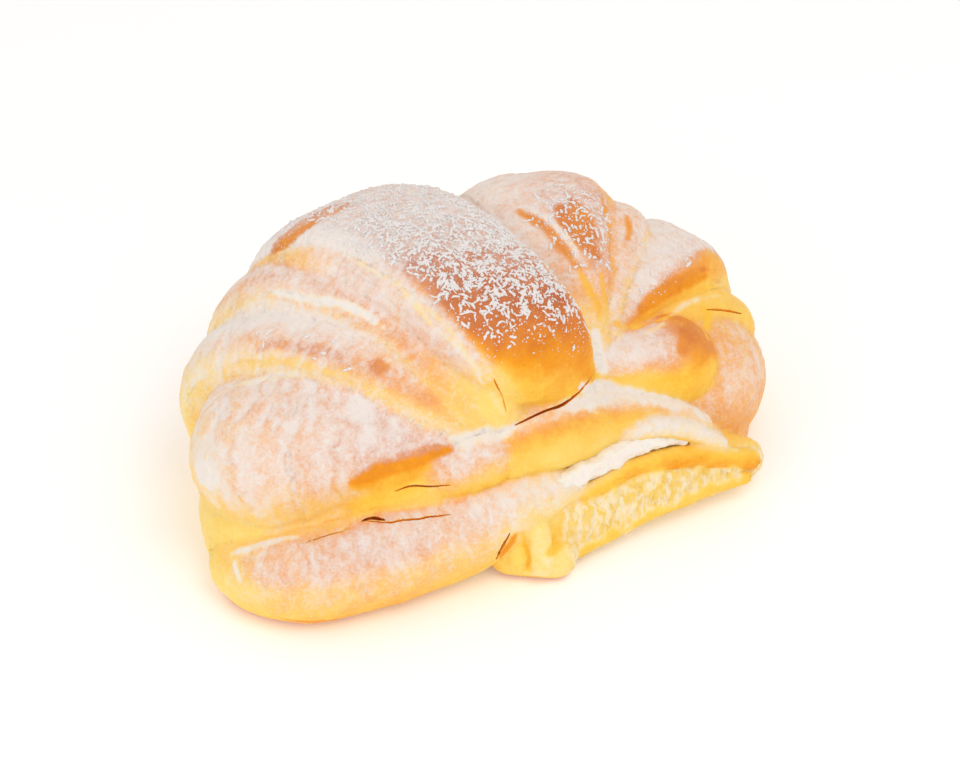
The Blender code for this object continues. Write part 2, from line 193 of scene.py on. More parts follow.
# Strands of torn crumb: the line they stand along, how many, and the ranges that they are drawn from
TORN_FACE = [(8, -40, 9), (24, -38.5, 10), (44, -36.5, 11), (66, -36, 10)]
STRANDS = 170
STRAND_SEED = 7
STRAND_SPAN = (11.0, 62.0)
STRAND_SETBACK = (0.2, 1.8)
STRAND_RISE = (-4.0, 4.0)
STRAND_RADIUS = (0.55, 1.5)
STRAND_LENGTH = (4.0, 9.0)
STRAND_LEAN = 0.3
STRAND_BOW = 0.5
TORN_LOBES = ("strand", "torn_horn", "torn_nub", "nub_tongue", "nub_tongue_low")

# Mesh resolution of the visible dough
SECTION_POINTS = 56
WRAP_STATIONS = 110
ROLL_STATIONS = 60

# Bake and sugar, lobe by lobe: values at millimetres along the lobe, times values across it. A plain
# number is the same all the way. Bake runs from 0, pale, to 1, dark brown; sugar is the share of the
# crust that it hides. Across a wrap the place runs from -1, its edge towards the last wrap, to 1, its
# edge towards the horn. Across a round roll it is quarter turns from the top, positive to the front.
Finish = namedtuple("Finish", "bake_along sugar_along bake_across sugar_across", defaults=(1, 1))
FINISHES = {
    "last_wrap": Finish(
        [(0, .38), (8, .42), (15, .5), (21, .58), (26, .68), (32, .8), (38, .86), (80, .84), (104, .8),
         (130, .66), (190, .5)],
        [(0, 0), (24, 0), (30, .05), (40, .12), (48, .24), (56, .44), (66, .68), (80, .8), (104, .84),
         (125, .5), (160, .1)],
        [(-1, .5), (-.88, .74), (-.75, 1), (.72, 1), (.84, .9), (.93, .62), (1, .5)],
        [(-1, 1.3), (-.8, 1.1), (-.6, 1), (.7, 1), (.82, 1.4), (1, 1.6)]),
    "last_wrap_layer": Finish(
        [(0, .28), (18, .3), (30, .38), (42, .58), (70, .6), (84, .52), (110, .44), (190, .36)],
        [(0, 0), (14, .08), (26, .25), (36, .62), (60, .76), (80, .76), (95, .55), (110, .3),
         (150, .1)]),
    "left_wrap_1": Finish(
        [(0, .3), (22, .32), (60, .5), (180, .4)],
        [(0, .3), (10, .12), (18, .2), (32, .36), (44, .6), (80, .66), (110, .4), (150, .1)]),
    "left_wrap_2": Finish(
        [(0, .34), (16, .4), (26, .54), (35, .62), (60, .68), (90, .62), (110, .44), (180, .36)],
        [(0, .3), (18, .3), (30, .52), (45, .7), (65, .84), (100, .76), (130, .25), (160, .1)],
        [(-1, .9), (.4, 1), (.66, 1.06), (.8, .84), (1, .66)],
        [(-1, 1), (.3, 1), (.5, .9), (.66, .74), (.78, .86), (.88, .86), (1, .8)]),
    "left_wrap_2_layer": Finish(
        [(0, .32), (30, .48), (60, .48), (90, .42), (120, .3)],
        [(0, .2), (20, .4), (36, .74), (60, .8), (90, .66), (140, .05)], 1,
        [(.5, .8), (.75, .7), (.9, 1.2), (1, 1.2)]),
    "left_wrap_3": Finish(
        [(0, .46), (10, .52), (24, .58), (40, .62), (62, .62), (80, .52), (100, .36), (160, .35)],
        [(0, .3), (14, .3), (26, .5), (40, .68), (62, .8), (76, .86), (90, .8), (110, .4), (140, .1)],
        [(-1, .8), (0, .95), (.4, 1.05), (.56, 1), (.7, .76), (1, .62)],
        [(-1, 1.3), (-.2, 1.3), (.1, 1.12), (.25, 1), (.42, .84), (.55, .78), (.7, .78), (.9, .8),
         (1, .8)]),
    "left_wrap_3_layer": Finish(
        [(0, .42), (60, .4), (110, .3)], [(0, .55), (20, .5), (50, .6), (80, .5), (120, .1)]),
    "left_wrap_4": Finish(
        [(0, .7), (12, .76), (22, .74), (32, .66), (45, .6), (56, .52), (64, .4), (80, .28)],
        [(0, .86), (12, .84), (22, .82), (35, .78), (50, .74), (60, .72), (68, .5), (76, .3)],
        [(-1.4, .5), (-1.15, .54), (-.9, .8), (-.7, 1), (1, 1)],
        [(-1.4, .2), (-1.15, .4), (-1, .55), (-.86, .8), (-.7, .9), (-.5, 1), (0, 1), (.3, 1.1),
         (1, 1)]),
    "left_foot": Finish(.27, .12),
    "front_roll": Finish(
        [(0, .3), (14, .38), (22, .56), (45, .66), (70, .58), (90, .42)],
        [(0, .1), (12, .16), (20, .6), (45, .7), (70, .72), (90, .8)],
        [(-1, .6), (-.1, .7), (.1, 1), (.6, 1), (.78, .72), (1.2, .68)],
        [(-1, .3), (0, .55), (.12, .85), (.25, .98), (.5, 1), (.62, .92), (.74, .76), (.9, .6),
         (1.1, .4), (1.4, .25)]),
    "inner_fold": Finish(
        [(0, .42), (19, .38), (26, .6), (50, .62)], [(0, 0), (19, 0), (26, .55), (31, .74), (45, .72)],
        [(-1, 1), (.5, 1), (.75, .8), (1, .66)],
        [(-1, 1), (.3, 1), (.55, .95), (.7, .75), (.85, .4), (1.2, 0)]),
    "lip": Finish(
        [(0, .5), (22, .5), (60, .46), (90, .36)], [(0, .8), (24, .8), (32, .9), (90, .9)],
        [(-1, 1), (.42, 1.05), (.6, .9), (.85, .66), (1.3, .55)],
        [(-1, .7), (0, .9), (.22, .85), (.34, .5), (.44, .1), (.75, .1), (1, .12), (1.3, 0)]),
    "lip_fold": Finish(.34, [(0, .9), (40, .8)], 1, [(-1, 1), (.7, 1), (1, .7), (1.2, .5)]),
    "lower_lip": Finish(.3, [(0, .85), (90, .7)]),
    "torn_horn": Finish(.36, .1),
    "torn_nub": Finish([(0, .4), (5, .3), (12, .22), (30, .22)], [(0, 0), (30, .1)]),
    "nub_tongue": Finish([(0, .2), (30, .16)], .05),
    "nub_tongue_low": Finish([(0, .32), (30, .24)], 0),
    "crust_rim": Finish(
        [(0, .36), (18, .4), (34, .44), (90, .4)], [(0, .5), (12, .4), (20, .1), (90, .05)],
        [(-1, .9), (.2, .9), (.5, 1), (1.2, 1.3)], [(-1, 1), (.1, .8), (.4, 0), (1, 0)]),
    "rind_rim": Finish([(0, .36), (90, .4)], 0),
    "strand": Finish(.1, 0),
    "right_wrap_2": Finish(
        [(0, .36), (12, .46), (20, .6), (30, .7), (46, .72), (60, .66), (90, .5), (160, .36)],
        [(0, .6), (10, .4), (20, .58), (30, .72), (46, .76), (66, .82), (95, .6), (130, .2)],
        [(-1, .85), (-.6, .9), (0, 1.02), (.7, 1), (1, .72)],
        [(-1, 1.1), (-.5, 1), (-.1, .95), (.3, .85), (.7, .8), (1, .7)]),
    "right_wrap_2_layer": Finish(
        [(0, .4), (23, .55), (60, .5), (120, .36)], [(0, .2), (60, .35), (120, .1)]),
    "right_wrap_between": Finish(
        [(0, .46), (20, .6), (60, .6), (110, .4)], [(0, .7), (30, .78), (60, .8), (100, .2)], 1,
        [(-1, .8), (.2, .9), (.45, .85), (.7, .8), (.9, 1.1), (1, 1)]),
    "right_wrap_between_layer": Finish([(0, .4), (60, .5), (110, .34)], [(0, .3), (30, .6), (110, .2)]),
    "right_wrap_3": Finish(
        [(0, .5), (12, .6), (25, .66), (60, .62), (90, .45)],
        [(0, .7), (20, .8), (40, .84), (60, .8), (90, .3)],
        [(-1, .9), (.4, 1), (.65, 1.05), (.8, .9), (1, .66)],
        [(-1, 1.05), (.3, 1.05), (.5, 1), (.66, .76), (.8, .16), (1, 0)]),
    "right_wrap_3_layer": Finish(
        [(0, 1), (50, 1), (100, .7)], .4, [(.5, .62), (.72, .6), (.84, .42), (1, .36)],
        [(.5, 0), (.86, 0), (.94, .6), (1, .4)]),
    "right_tip": Finish([(0, .6), (10, .5), (20, .42)], [(0, .05), (20, .2)]),
    "right_fold": Finish([(0, .38), (30, .42), (50, .38), (90, .34)], [(0, .2), (25, .12), (90, .08)]),
    "right_nub": Finish(
        [(0, .5), (12, .6), (20, .66), (32, .68), (45, .56)],
        [(0, .95), (10, .9), (18, .8), (23, .55), (26, .1), (45, 0)],
        [(-1, .9), (.3, 1), (.5, .94), (.68, .76), (.8, .6), (1.2, .56)],
        [(-1, 1), (.35, 1), (.5, .85), (.66, .4), (.8, 0), (1.2, 0)]),
    "right_bulk": Finish(
        [(0, .5), (40, .54), (90, .48)], [(0, .5), (36, .46), (48, .58), (90, .55)], 1,
        [(-1, .6), (0, .5), (.2, .75), (.7, 1.05), (.9, .7), (1.1, .5)]),
}

# Places with a finish of their own: middle, radii, and what they add to bake and to sugar
Spot = namedtuple("Spot", "middle radii bake sugar")
SPOTS = [
    Spot((-73, -2, 31), (5, 7, 4), -.1, .8),  # sugar on the left side
    Spot((-74, -6, 24), (5, 7, 5), -.1, .7),
    Spot((11, -35, 15), (6, 4, 3), .3, -.3),  # painted shade in the hollow under the cream's left end
]

# Lines drawn on the skin: points along them, half width, and the bake and sugar that they have
Streak = namedtuple("Streak", "path half_width bake sugar")
STREAKS = [
    # torn white edge of the second left wrap, with glazed yellow below it
    Streak([(-44, 28, 55), (-40, 23, 56), (-36, 17, 57), (-31, 11, 58), (-26, 4, 57)], 1.2, .38, .1),
    Streak([(-42, 27, 58), (-39, 23, 59), (-36, 18, 60), (-32, 13, 61), (-29, 9, 61), (-26, 5, 60),
            (-24, 0, 59)], 1.1, .1, 1.0),
    # sugared flank of the last wrap, and its pale edge
    Streak([(-9, -19, 58), (-12, -14, 61), (-15, -8, 64), (-18, -2, 66), (-20, 5, 67), (-24, 13, 67),
            (-27, 19, 67)], 4.2, .58, .76),
    Streak([(-27, 24, 69), (-24, 18, 69), (-22, 11, 69), (-19, 6, 68), (-18, 2, 68), (-16, -5, 65),
            (-14, -12, 62), (-11, -17, 60), (-9, -21, 56), (-6, -23, 49), (-4, -26, 44)], .75, .24, .62),
    Streak([(-15, -5, 66), (-12, -13, 63), (-10, -19, 59)], .6, .26, .5),
    # browned shoulder of the last wrap, bare in places
    Streak([(-36, 40, 62), (-32, 39, 66), (-27, 38, 69), (-22, 38, 70.5), (-17, 38, 71)], 4.6, .72, .42),
    Streak([(-36, 38, 62), (-33, 36, 66), (-30, 35, 68), (-27, 34.5, 69.5)], 2.3, .64, .1),
    # sugar caught in the two pinches
    Streak([(-17, -24, 39), (-14, -25, 38), (-10, -25.5, 39), (-6, -26, 38.5), (-1, -26, 39)],
           2.3, .3, .94),
    Streak([(29, -11, 48), (28, -14, 46), (28, -17, 43), (29, -17, 40)], 2.4, .3, 1.0),
    # white ridge of the lip
    Streak([(12, -26, 40.5), (19, -25, 39), (25, -23, 37), (31, -22, 35.5), (38, -24, 33)], 2.2, .3, .95),
    Streak([(19, -23, 42), (28, -19, 36), (36, -23, 33), (44, -25, 30), (50, -26, 28), (51, -29, 26)],
           2.1, .3, 1.0),
    # first right wrap: a bare stripe, a sugared one, the bare patch, and stripes beyond it
    Streak([(23, 21, 67), (25, 17, 67), (27, 12, 66), (28, 6, 64), (29, 1, 62), (30, -1, 60)],
           1.5, .66, .12),
    Streak([(34, 17, 67), (34, 11, 65.5), (35, 6, 64), (36, 2, 61.5)], 3.6, .72, .1),
    Streak([(38, 19, 67), (38.5, 13, 66), (38.5, 7, 63)], 2.6, .7, .12),
    Streak([(26, 19, 67), (29, 15, 67), (30, 11, 65), (31, 6, 64), (31, 2, 62)], 1.0, .4, .95),
    Streak([(47, 18, 64), (45, 11, 62), (43, 6, 60), (40, 2, 58)], .9, .58, .1),
    Streak([(53, 16, 60), (50, 10, 58), (46, 6, 57)], 1.1, .6, .1),
    # glazed lines that meet at the right pinch
    Streak([(30, -1, 60), (31, -5, 56), (32, -7, 53), (32, -9, 50)], 1.3, .46, .08),
    Streak([(36, -2, 59), (35, -4, 56), (35, -6, 53), (34, -8, 50)], 1.0, .42, .1),
    Streak([(42, 3, 57), (40, 0, 55), (37, -3, 53), (35, -6, 52)], .9, .46, .15),
    Streak([(48, 21, 64), (46, 16, 63), (45, 11, 62), (43, 8, 60)], .8, .56, .15),
    # second right wrap: the browned band on its low edge and the glazed band below
    Streak([(47, -6, 43), (54, -3, 44), (63, -1, 43), (71, 1, 41)], 1.8, .42, .02),
    Streak([(46, -5, 46), (51, -3, 46.5), (57, -1, 47), (62, 0, 47), (70, 3, 46)], 2.0, .64, .05),
    Streak([(46, -5.5, 45), (51, -3.5, 45), (57, -1.5, 45.5), (62, -.5, 45.5), (70, 2.5, 44)],
           1.3, .6, 0),
    # ribbon of the right fold
    Streak([(36, -9, 47), (45, -8, 42), (52, -8, 43), (59, -3, 42)], 1.0, .42, .05),
    Streak([(33, -11, 47), (37, -11, 44), (42, -12, 44), (49, -11, 43), (58, -4, 41), (66, -2, 41),
            (73, -1, 39)], .8, .3, .6),
    # right nub: its browned end, and painted shade where the right side comes over it
    Streak([(60, -11, 42), (57, -14, 43), (53.5, -17, 42.5), (50, -20, 41.5)], 3.0, .7, .08),
    Streak([(65, -5, 40), (66, -5, 37), (64, -10, 38), (60, -16, 39)], 1.6, .42, 0),
    # torn nub: painted shade in the gap beside it and in the crease between its tongues, and its bright
    # recess
    Streak([(-11, -39, 10), (-10, -39, 12), (-8, -39, 14), (-7, -39, 16)], 1.3, .62, 0),
    Streak([(-4, -40, 2), (-4, -41, 8), (-4, -39, 11), (-5, -39, 16)], .7, .5, 0),
    Streak([(1, -43, 10), (4, -40, 10), (7, -39, 12), (8, -38, 15)], 2.2, .4, 0),
    # browned foot of the front roll
    Streak([(-67, -30, 4), (-60, -34, 3.5), (-53, -36, 3), (-46, -37.5, 3)], 1.3, .62, .2),
    # sugared lines on the front roll's left end
    Streak([(-74, -15, 14), (-72, -15, 16), (-69, -17, 18), (-65, -19, 20), (-61, -21, 22),
            (-58, -23, 22)], 1.1, .2, .9),
    Streak([(-73, -17, 15), (-73, -19, 15), (-73, -22, 13)], .9, .2, .9),
    # third left wrap: its browned band, its bare spot, and the glazed band below
    Streak([(-61, 20, 43), (-57, 17, 47), (-52, 13, 49), (-46, 7, 51), (-41, 0, 52), (-36, -5, 52)],
           1.0, .38, .4),
    Streak([(-51, 15, 51), (-47, 13, 53), (-43, 8, 54), (-39, 4, 54), (-36, 1, 54), (-35, -2, 53)],
           1.7, .72, .5),
    Streak([(-30, -6, 54), (-27, -8, 53)], 2.4, .7, .2),
    # big left lobe: its white top edge and its bare orange wedge
    Streak([(-59, 11, 45), (-51, 7, 48), (-46, 3, 50)], 1.3, .3, .85),
    Streak([(-42, -21.5, 31), (-36, -23, 31.5), (-30, -24, 32.5), (-24, -25, 34)], 2.6, .46, 0),
    Streak([(-42, -21.5, 32.5), (-35, -22, 34), (-30, -23, 34.5), (-25, -23, 35.5), (-21, -23.5, 36),
            (-18, -24, 36)], 2.5, .58, 0),
    Streak([(-34, -21.5, 36), (-29, -22, 36.8), (-24, -22.6, 37.2), (-20, -23.2, 37)], 1.0, .72, .42),
]

# Where sugar lies in clumps: their share of the crust along a lobe, times that across it
CLUMPED = {
    "last_wrap": (
        [(20, 0), (25, .12), (30, .34), (36, .7), (44, 1), (66, 1), (80, .6), (104, .12), (120, 0)],
        [(-1, .5), (-.8, .9), (-.6, 1), (.6, 1), (.75, .5), (.9, .12), (1, .1)]),
    "right_wrap_2": ([(18, 0), (24, .35), (34, .6), (44, .5), (52, 0)],
                     [(-.7, .1), (-.3, .3), (0, .8), (.6, .9), (.8, .3), (1, .1)]),
    "right_wrap_3": ([(10, .1), (40, .14), (60, 0)], [(-.4, 0), (.2, .6), (.7, 1), (.85, 0)]),
    "left_wrap_3": ([(24, 0), (34, .1), (60, .1), (80, 0)], [(-1, .2), (.3, 1), (.6, 1), (.8, 0)]),
}
LAST_WRAP_SLANT = 10.0  # the last wrap browns along a line that runs this far aslant

# Settings a user would change

def linear(code):
    """A colour given as sRGB hex, turned to linear light."""
    parts = [int(code[start:start + 2], 16) / 255 for start in (1, 3, 5)]
    return tuple(part / 12.92 if part <= 0.04045 else ((part + 0.055) / 1.055) ** 2.4 for part in parts)


def colour_setting(name, description, code):
    """A colour that a user may change."""
    return FloatVectorProperty(name=name, description=description, subtype="COLOR", size=3,
                               min=0.0, max=1.0, default=linear(code))


def length_setting(name, description, millimetres):
    """A length that a user may change."""
    return FloatProperty(name=name, description=description, subtype="DISTANCE", unit="LENGTH",
                         min=0.0, default=millimetres * MM)


def count_setting(name, description, number):
    """A number of bits of sugar that a user may change."""
    return IntProperty(name=name, description=description, min=0, default=number)


class CroissantSizes(bpy.types.PropertyGroup):
    """Sizes of the dough's relief and of the sugar."""
    skin_cell: length_setting("Skin cell", "Size of a face of the dough's mesh", 0.55)
    swell_height: length_setting("Swell height", "Height of the dough's slow unevenness", 0.55)
    wrinkle_height: length_setting("Wrinkle height", "Height of the crust's fine wrinkles", 0.3)
    layer_height: length_setting("Layer height", "Height of the thin layers along a wrap's edge", 0.22)
    layer_spacing: length_setting("Layer spacing", "Distance from one thin layer to the next", 1.5)
    crumb_height: length_setting("Crumb height", "Depth of the holes in the torn crumb", 0.8)
    clump_length: length_setting("Clump length", "Length of the longest clumps of sugar", 3.4)
    clump_width: length_setting("Clump width", "Half thickness of the clumps of sugar", 0.34)
    speck_width: length_setting("Speck width", "Half thickness of the loose specks of sugar", 0.3)
    clumps: count_setting("Clumps", "How many clumps of sugar lie on the crust", 2100)
    specks: count_setting("Specks", "How many specks of sugar lie on the crust", 6500)


class CroissantColours(bpy.types.PropertyGroup):
    """Colours of the crust, crumb, cream, sugar and floor."""
    crumb_white: colour_setting("Crumb, white", "Palest dough inside the tear", "#F9E6BE")
    crumb_yellow: colour_setting("Crumb, yellow", "Egg-yellow dough inside the tear", "#F9D26A")
    bake_pale: colour_setting("Bake, pale", "Dough that hardly took colour", "#FFF0CC")
    bake_yellow: colour_setting("Bake, yellow", "Glazed yellow dough at the wraps' edges", "#FFDB6E")
    bake_gold: colour_setting("Bake, gold", "Golden crust", "#FFC945")
    bake_orange: colour_setting("Bake, orange", "Orange crust", "#F69E14")
    bake_brown: colour_setting("Bake, brown", "Browned crust", "#DC7A1E")
    bake_dark: colour_setting("Bake, dark", "Darkest crust on the last wrap", "#BC5A1E")
    cream: colour_setting("Cream", "Pastry cream in the seam", "#F6EFE8")
    sugar: colour_setting("Sugar", "Film of powdered sugar", "#F0E9E4")
    clump: colour_setting("Sugar clumps", "Clumped powdered sugar", "#F6F2F2")
    floor: colour_setting("Floor", "Plain pale floor", "#FFFFFF")


# Lines, tubes and meshes

FINE_STATIONS = 400  # stations that a smooth line's length is measured with
LINE_STATIONS = 60  # stations of a line that is drawn on the skin
CLOSED_END = 0.02  # share of its width that a tube keeps where it closes


def unit(vectors):
    """The same directions, each one long."""
    return vectors / np.maximum(np.linalg.norm(vectors, axis=-1, keepdims=True), 1e-9)


def square_to(others, directions):
    """The directions turned square to the others, each one long."""
    return unit(directions - others * np.sum(directions * others, axis=-1, keepdims=True))


def smooth_path(points, count):
    """A smooth line through the points, and how far each of its places is along them."""
    points = np.asarray(points, float)
    padded = np.vstack([2 * points[0] - points[1], points, 2 * points[-1] - points[-2]])
    place = np.linspace(0, len(points) - 1, count)
    first = np.minimum(place.astype(int), len(points) - 2)
    share = (place - first)[:, None]
    a, b, c, d = (padded[first + step] for step in range(4))
    line = 2 * b + (c - a) * share
    line += (2 * a - 5 * b + 4 * c - d) * share ** 2
    line += (3 * b - a - 3 * c + d) * share ** 3
    return line / 2, place


def evenly_placed(points, radii, count):
    """The smooth line with its stations at even lengths, the radii there, and those lengths."""
    fine, place = smooth_path(points, FINE_STATIONS)
    lengths = np.concatenate([[0], np.cumsum(np.linalg.norm(np.diff(fine, axis=0), axis=1))])
    wanted = np.linspace(0, lengths[-1], count)
    centres = np.stack([np.interp(wanted, lengths, fine[:, axis]) for axis in range(3)], 1)
    where = np.interp(wanted, lengths, place)
    return centres, np.interp(where, range(len(points)), np.broadcast_to(radii, len(points))), wanted


def level_frame(centres):
    """The ways along a line, level across it and up from it, at each station."""
    tangents = unit(np.gradient(centres, axis=0))
    across = unit(np.cross(tangents, [0.0, 0.0, 1.0]))
    return tangents, across, np.cross(across, tangents)


def end_rounding(lengths, first_radius, last_radius):
    """How much of its width a tube has at each station, when both its ends are round."""
    rounding = np.ones(len(lengths))
    for from_end, radius in ((lengths, first_radius), (lengths[-1] - lengths, last_radius)):
        inside = np.clip(1 - from_end / radius, 0, 1)
        rounding *= np.sqrt(1 - inside ** 2)
    return np.maximum(rounding, CLOSED_END)


# A lobe's surface: its rings of points, and for each point the places along, aside and up, the half
# width there, and the ways along and aside
Tube = namedtuple("Tube", "lobe rings along side up width tangent sideways")


def tube(lobe, centres, across, outward, wide, thick, exponent, lengths, horn_side=-1,
         section=SECTION_POINTS):
    """A squarish oval tube along the stations, with each point's place along and across it."""
    angles = np.linspace(0, 2 * math.pi, section, endpoint=False)
    side, up = (np.sign(wave) * np.abs(wave) ** (2 / exponent)
                for wave in (np.cos(angles), np.sin(angles)))
    count = len(centres)
    wide, thick = (np.broadcast_to(half, count)[:, None] * np.ones(section) for half in (wide, thick))
    rings = centres[:, None] + across[:, None] * (side * wide)[..., None]
    rings = rings + outward[:, None] * (up * thick)[..., None] - PLAN_CENTRE
    spread = np.ones((count, section))
    return Tube(lobe, rings, lengths[:, None] * spread, -horn_side * side * wide, up * spread, wide,
                unit(np.gradient(centres, axis=0))[:, None] * spread[..., None],
                -horn_side * across[:, None] * spread[..., None])


def tube_faces(*shape):
    """The faces of closed tubes of rings of points: quads between the rings and a face on each end."""
    index = np.arange(math.prod(shape)).reshape(-1, *shape[-2:])
    following = np.roll(index, -1, axis=2)
    walls = np.stack([index[:, :-1], following[:, :-1], following[:, 1:], index[:, 1:]], -1)
    return [walls.reshape(-1, 4), index[:, 0, ::-1], index[:, -1]]


def held(items, key, width=1, kind=np.float32):
    """The numbers that a mesh holds for each of its points, edges or triangles."""
    numbers = np.zeros(len(items) * width, kind)
    items.foreach_get(key, numbers)
    return numbers.reshape(-1, width) if width > 1 else numbers


def points_and_normals(mesh):
    """Points and normals of a mesh, the points in millimetres."""
    return held(mesh.vertices, "co", 3) / MM, held(mesh.vertex_normals, "vector", 3)


def move_points(mesh, points):
    """Puts the mesh's points at these places, in millimetres."""
    mesh.vertices.foreach_set("co", (np.asarray(points) * MM).astype(np.float32).ravel())


def carry(mesh, **values):
    """Lets the mesh's points carry these values."""
    for key, numbers in values.items():
        layer = mesh.attributes.get(key) or mesh.attributes.new(key, "FLOAT", "POINT")
        layer.data.foreach_set("value", np.broadcast_to(numbers, len(mesh.vertices)).astype(np.float32))


def mesh_of(name, points, face_groups, **values):
    """A mesh of points in millimetres, with any values that its points carry."""
    mesh = bpy.data.meshes.new(name)
    corners = np.concatenate([group.ravel() for group in face_groups])
    sizes = np.concatenate([np.full(len(group), group.shape[1]) for group in face_groups])
    starts = np.concatenate([[0], np.cumsum(sizes)[:-1]])
    mesh.vertices.add(len(points))
    mesh.loops.add(len(corners))
    mesh.polygons.add(len(sizes))
    move_points(mesh, points)
    mesh.loops.foreach_set("vertex_index", corners.astype(np.int32))
    mesh.polygons.foreach_set("loop_start", starts.astype(np.int32))
    mesh.update(calc_edges=True)
    mesh.validate()
    mesh.polygons.foreach_set("use_smooth", np.ones(len(sizes), bool))
    carry(mesh, **values)
    return mesh


def closed_mesh(name, rings_list, **values):
    """One mesh of several closed tubes."""
    points, groups, start = [], [], 0
    for rings in rings_list:
        groups += [group + start for group in tube_faces(*rings.shape[:2])]
        points.append(rings.reshape(-1, 3))
        start += len(points[-1])
    return mesh_of(name, np.vstack(points), groups, **values)


def placed(mesh):
    """A piece of the mesh and its name in the scene."""
    piece = bpy.data.objects.new(mesh.name, mesh)
    bpy.context.scene.collection.objects.link(piece)
    return piece


def apply_modifiers(piece):
    """Makes the piece's modifiers final."""
    bpy.context.view_layer.update()
    graph = bpy.context.evaluated_depsgraph_get()
    final = bpy.data.meshes.new_from_object(piece.evaluated_get(graph), preserve_all_data_layers=True,
                                            depsgraph=graph)
    old = piece.data
    piece.modifiers.clear()
    piece.data = final
    bpy.data.meshes.remove(old)


def join_tubes(piece, cell, smoothing=0):
    """Makes one skin of the piece's tubes, with faces of this size, and smooths it some rounds."""
    joined = piece.modifiers.new("joined", "REMESH")
    joined.mode = "VOXEL"
    joined.voxel_size = cell
    joined.use_smooth_shade = True
    if smoothing:
        smoother = piece.modifiers.new("smooth", "SMOOTH")
        smoother.factor = 0.5
        smoother.iterations = smoothing
    apply_modifiers(piece)


# Noise and profiles

NOISE_PRIMES = (73856093, 19349663, 83492791)
SEED_PRIME = 7919
SCRAMBLER = 1274126177


def lattice_noise(places, seed):
    """Smooth noise from -1 to 1, with about one bump for each unit of length."""
    cell = np.floor(places).astype(np.int64)
    part = places - cell
    weight = part * part * (3 - 2 * part)
    total = np.zeros(len(places))
    for corner in itertools.product((0, 1), repeat=3):
        # a number from -1 to 1 that is always the same for the same corner and seed
        code = np.bitwise_xor.reduce((cell + corner) * NOISE_PRIMES, axis=1) ^ (seed * SEED_PRIME)
        code = ((code ^ (code >> 13)) * SCRAMBLER) & 0x7FFFFFFF
        value = ((code ^ (code >> 15)) & 0xFFFF) / 32767.5 - 1
        total += value * np.prod(np.where(np.array(corner) == 1, weight, 1 - weight), axis=1)
    return total


def layered_noise(places, seed, layers=2):
    """Noise with finer bumps laid over coarser ones."""
    total = lattice_noise(places, seed)
    for layer in range(1, layers):
        total = total + lattice_noise(places * 2 ** layer, seed + layer) / 2 ** layer
    return total


def nudges(points, length, reach, seeds):
    """Small pushes to the points, each way up to about this reach, that change over this length."""
    return np.stack([layered_noise(points / length, seed) for seed in seeds], 1) * reach


def profile(stops, numbers):
    """The value at each place of a profile of (place, value) stops, or of a plain number."""
    if not isinstance(stops, list):
        return np.full(len(numbers), float(stops))
    places, values = zip(*stops)
    return np.interp(numbers, places, values)


def rise(low, high, numbers):
    """A soft step from 0 at low to 1 at high."""
    share = np.clip((numbers - low) / (high - low), 0, 1)
    return share * share * (3 - 2 * share)


# The dough's tubes

WRAP_END_RADIUS = 4.0
LAYERS_PART = 3  # a wrap's layers have parted at one third of its length
ROLL_SECTION = 40
ROLL_SQUARENESS = 2.1
CORE_STATIONS = 30
CORE_SQUARENESS = 2.2
STRAND_STATIONS = 14
STRAND_SECTION = 12
STRAND_ENDS = 0.7  # share of its thickness that a strand has at its ends
TORN_MIDDLE = 9  # height of the torn face's middle; above it the strands lean back more


def along_frame(centres, inside, lengths):
    """Directions across a wrap and out of the roll at each station."""
    tangents = unit(np.gradient(centres, axis=0))
    share = (lengths / lengths[-1])[:, None]
    first, last = np.asarray(inside, float)
    outward = square_to(tangents, centres - first * (1 - share) - last * share)
    return np.cross(tangents, outward), outward


def wrap_tubes(wrap):
    """The band of a wrap, and the lower layers that stand out from its edge."""
    crest, widths, lengths = evenly_placed(wrap.crest, wrap.half_widths, WRAP_STATIONS)
    across, outward = along_frame(crest, wrap.inside, lengths)
    rounding = end_rounding(lengths, WRAP_END_RADIUS, WRAP_END_RADIUS)
    thickness = wrap.thickness * np.minimum(rounding, np.minimum(widths / wrap.thickness, 1))
    for layer in range(wrap.layers + 1):
        grow = np.clip(lengths / lengths[-1] * LAYERS_PART, 0, 1)[:, None] * layer
        centres = crest - outward * thickness[:, None]
        centres = centres - across * grow * wrap.horn_side * LAYER_STEP_ACROSS
        centres = centres - outward * grow * LAYER_STEP_IN
        yield tube(wrap.name if layer == 0 else wrap.name + "_layer", centres, across, outward,
                   widths * rounding, thickness, wrap.squareness, lengths, wrap.horn_side)


def roll_tube(roll, stations=ROLL_STATIONS, section=ROLL_SECTION):
    """A round roll of dough along its centre line."""
    centres, radii, lengths = evenly_placed(roll.path, roll.radii, stations)
    _, across, outward = level_frame(centres)
    radii = radii * end_rounding(lengths, roll.radii[0], roll.radii[-1])
    return tube(roll.name, centres, across, outward, radii, radii * roll.flatness, ROLL_SQUARENESS,
                lengths, section=section)


def core_tube(centre, radii):
    """An egg-shaped body that fills the inside of the roll."""
    place = -np.cos(np.linspace(0, math.pi, CORE_STATIONS))
    centres = np.array(centre, float) + place[:, None] * np.array([radii[0], 0.0, 0.0])
    across, outward = (np.tile(way, (CORE_STATIONS, 1)) for way in ([0.0, 1.0, 0.0], [0.0, 0.0, 1.0]))
    size = np.maximum(np.sqrt(1 - place ** 2), CLOSED_END)
    return tube("core", centres, across, outward, size * radii[1], size * radii[2], CORE_SQUARENESS,
                (place + 1) * radii[0])


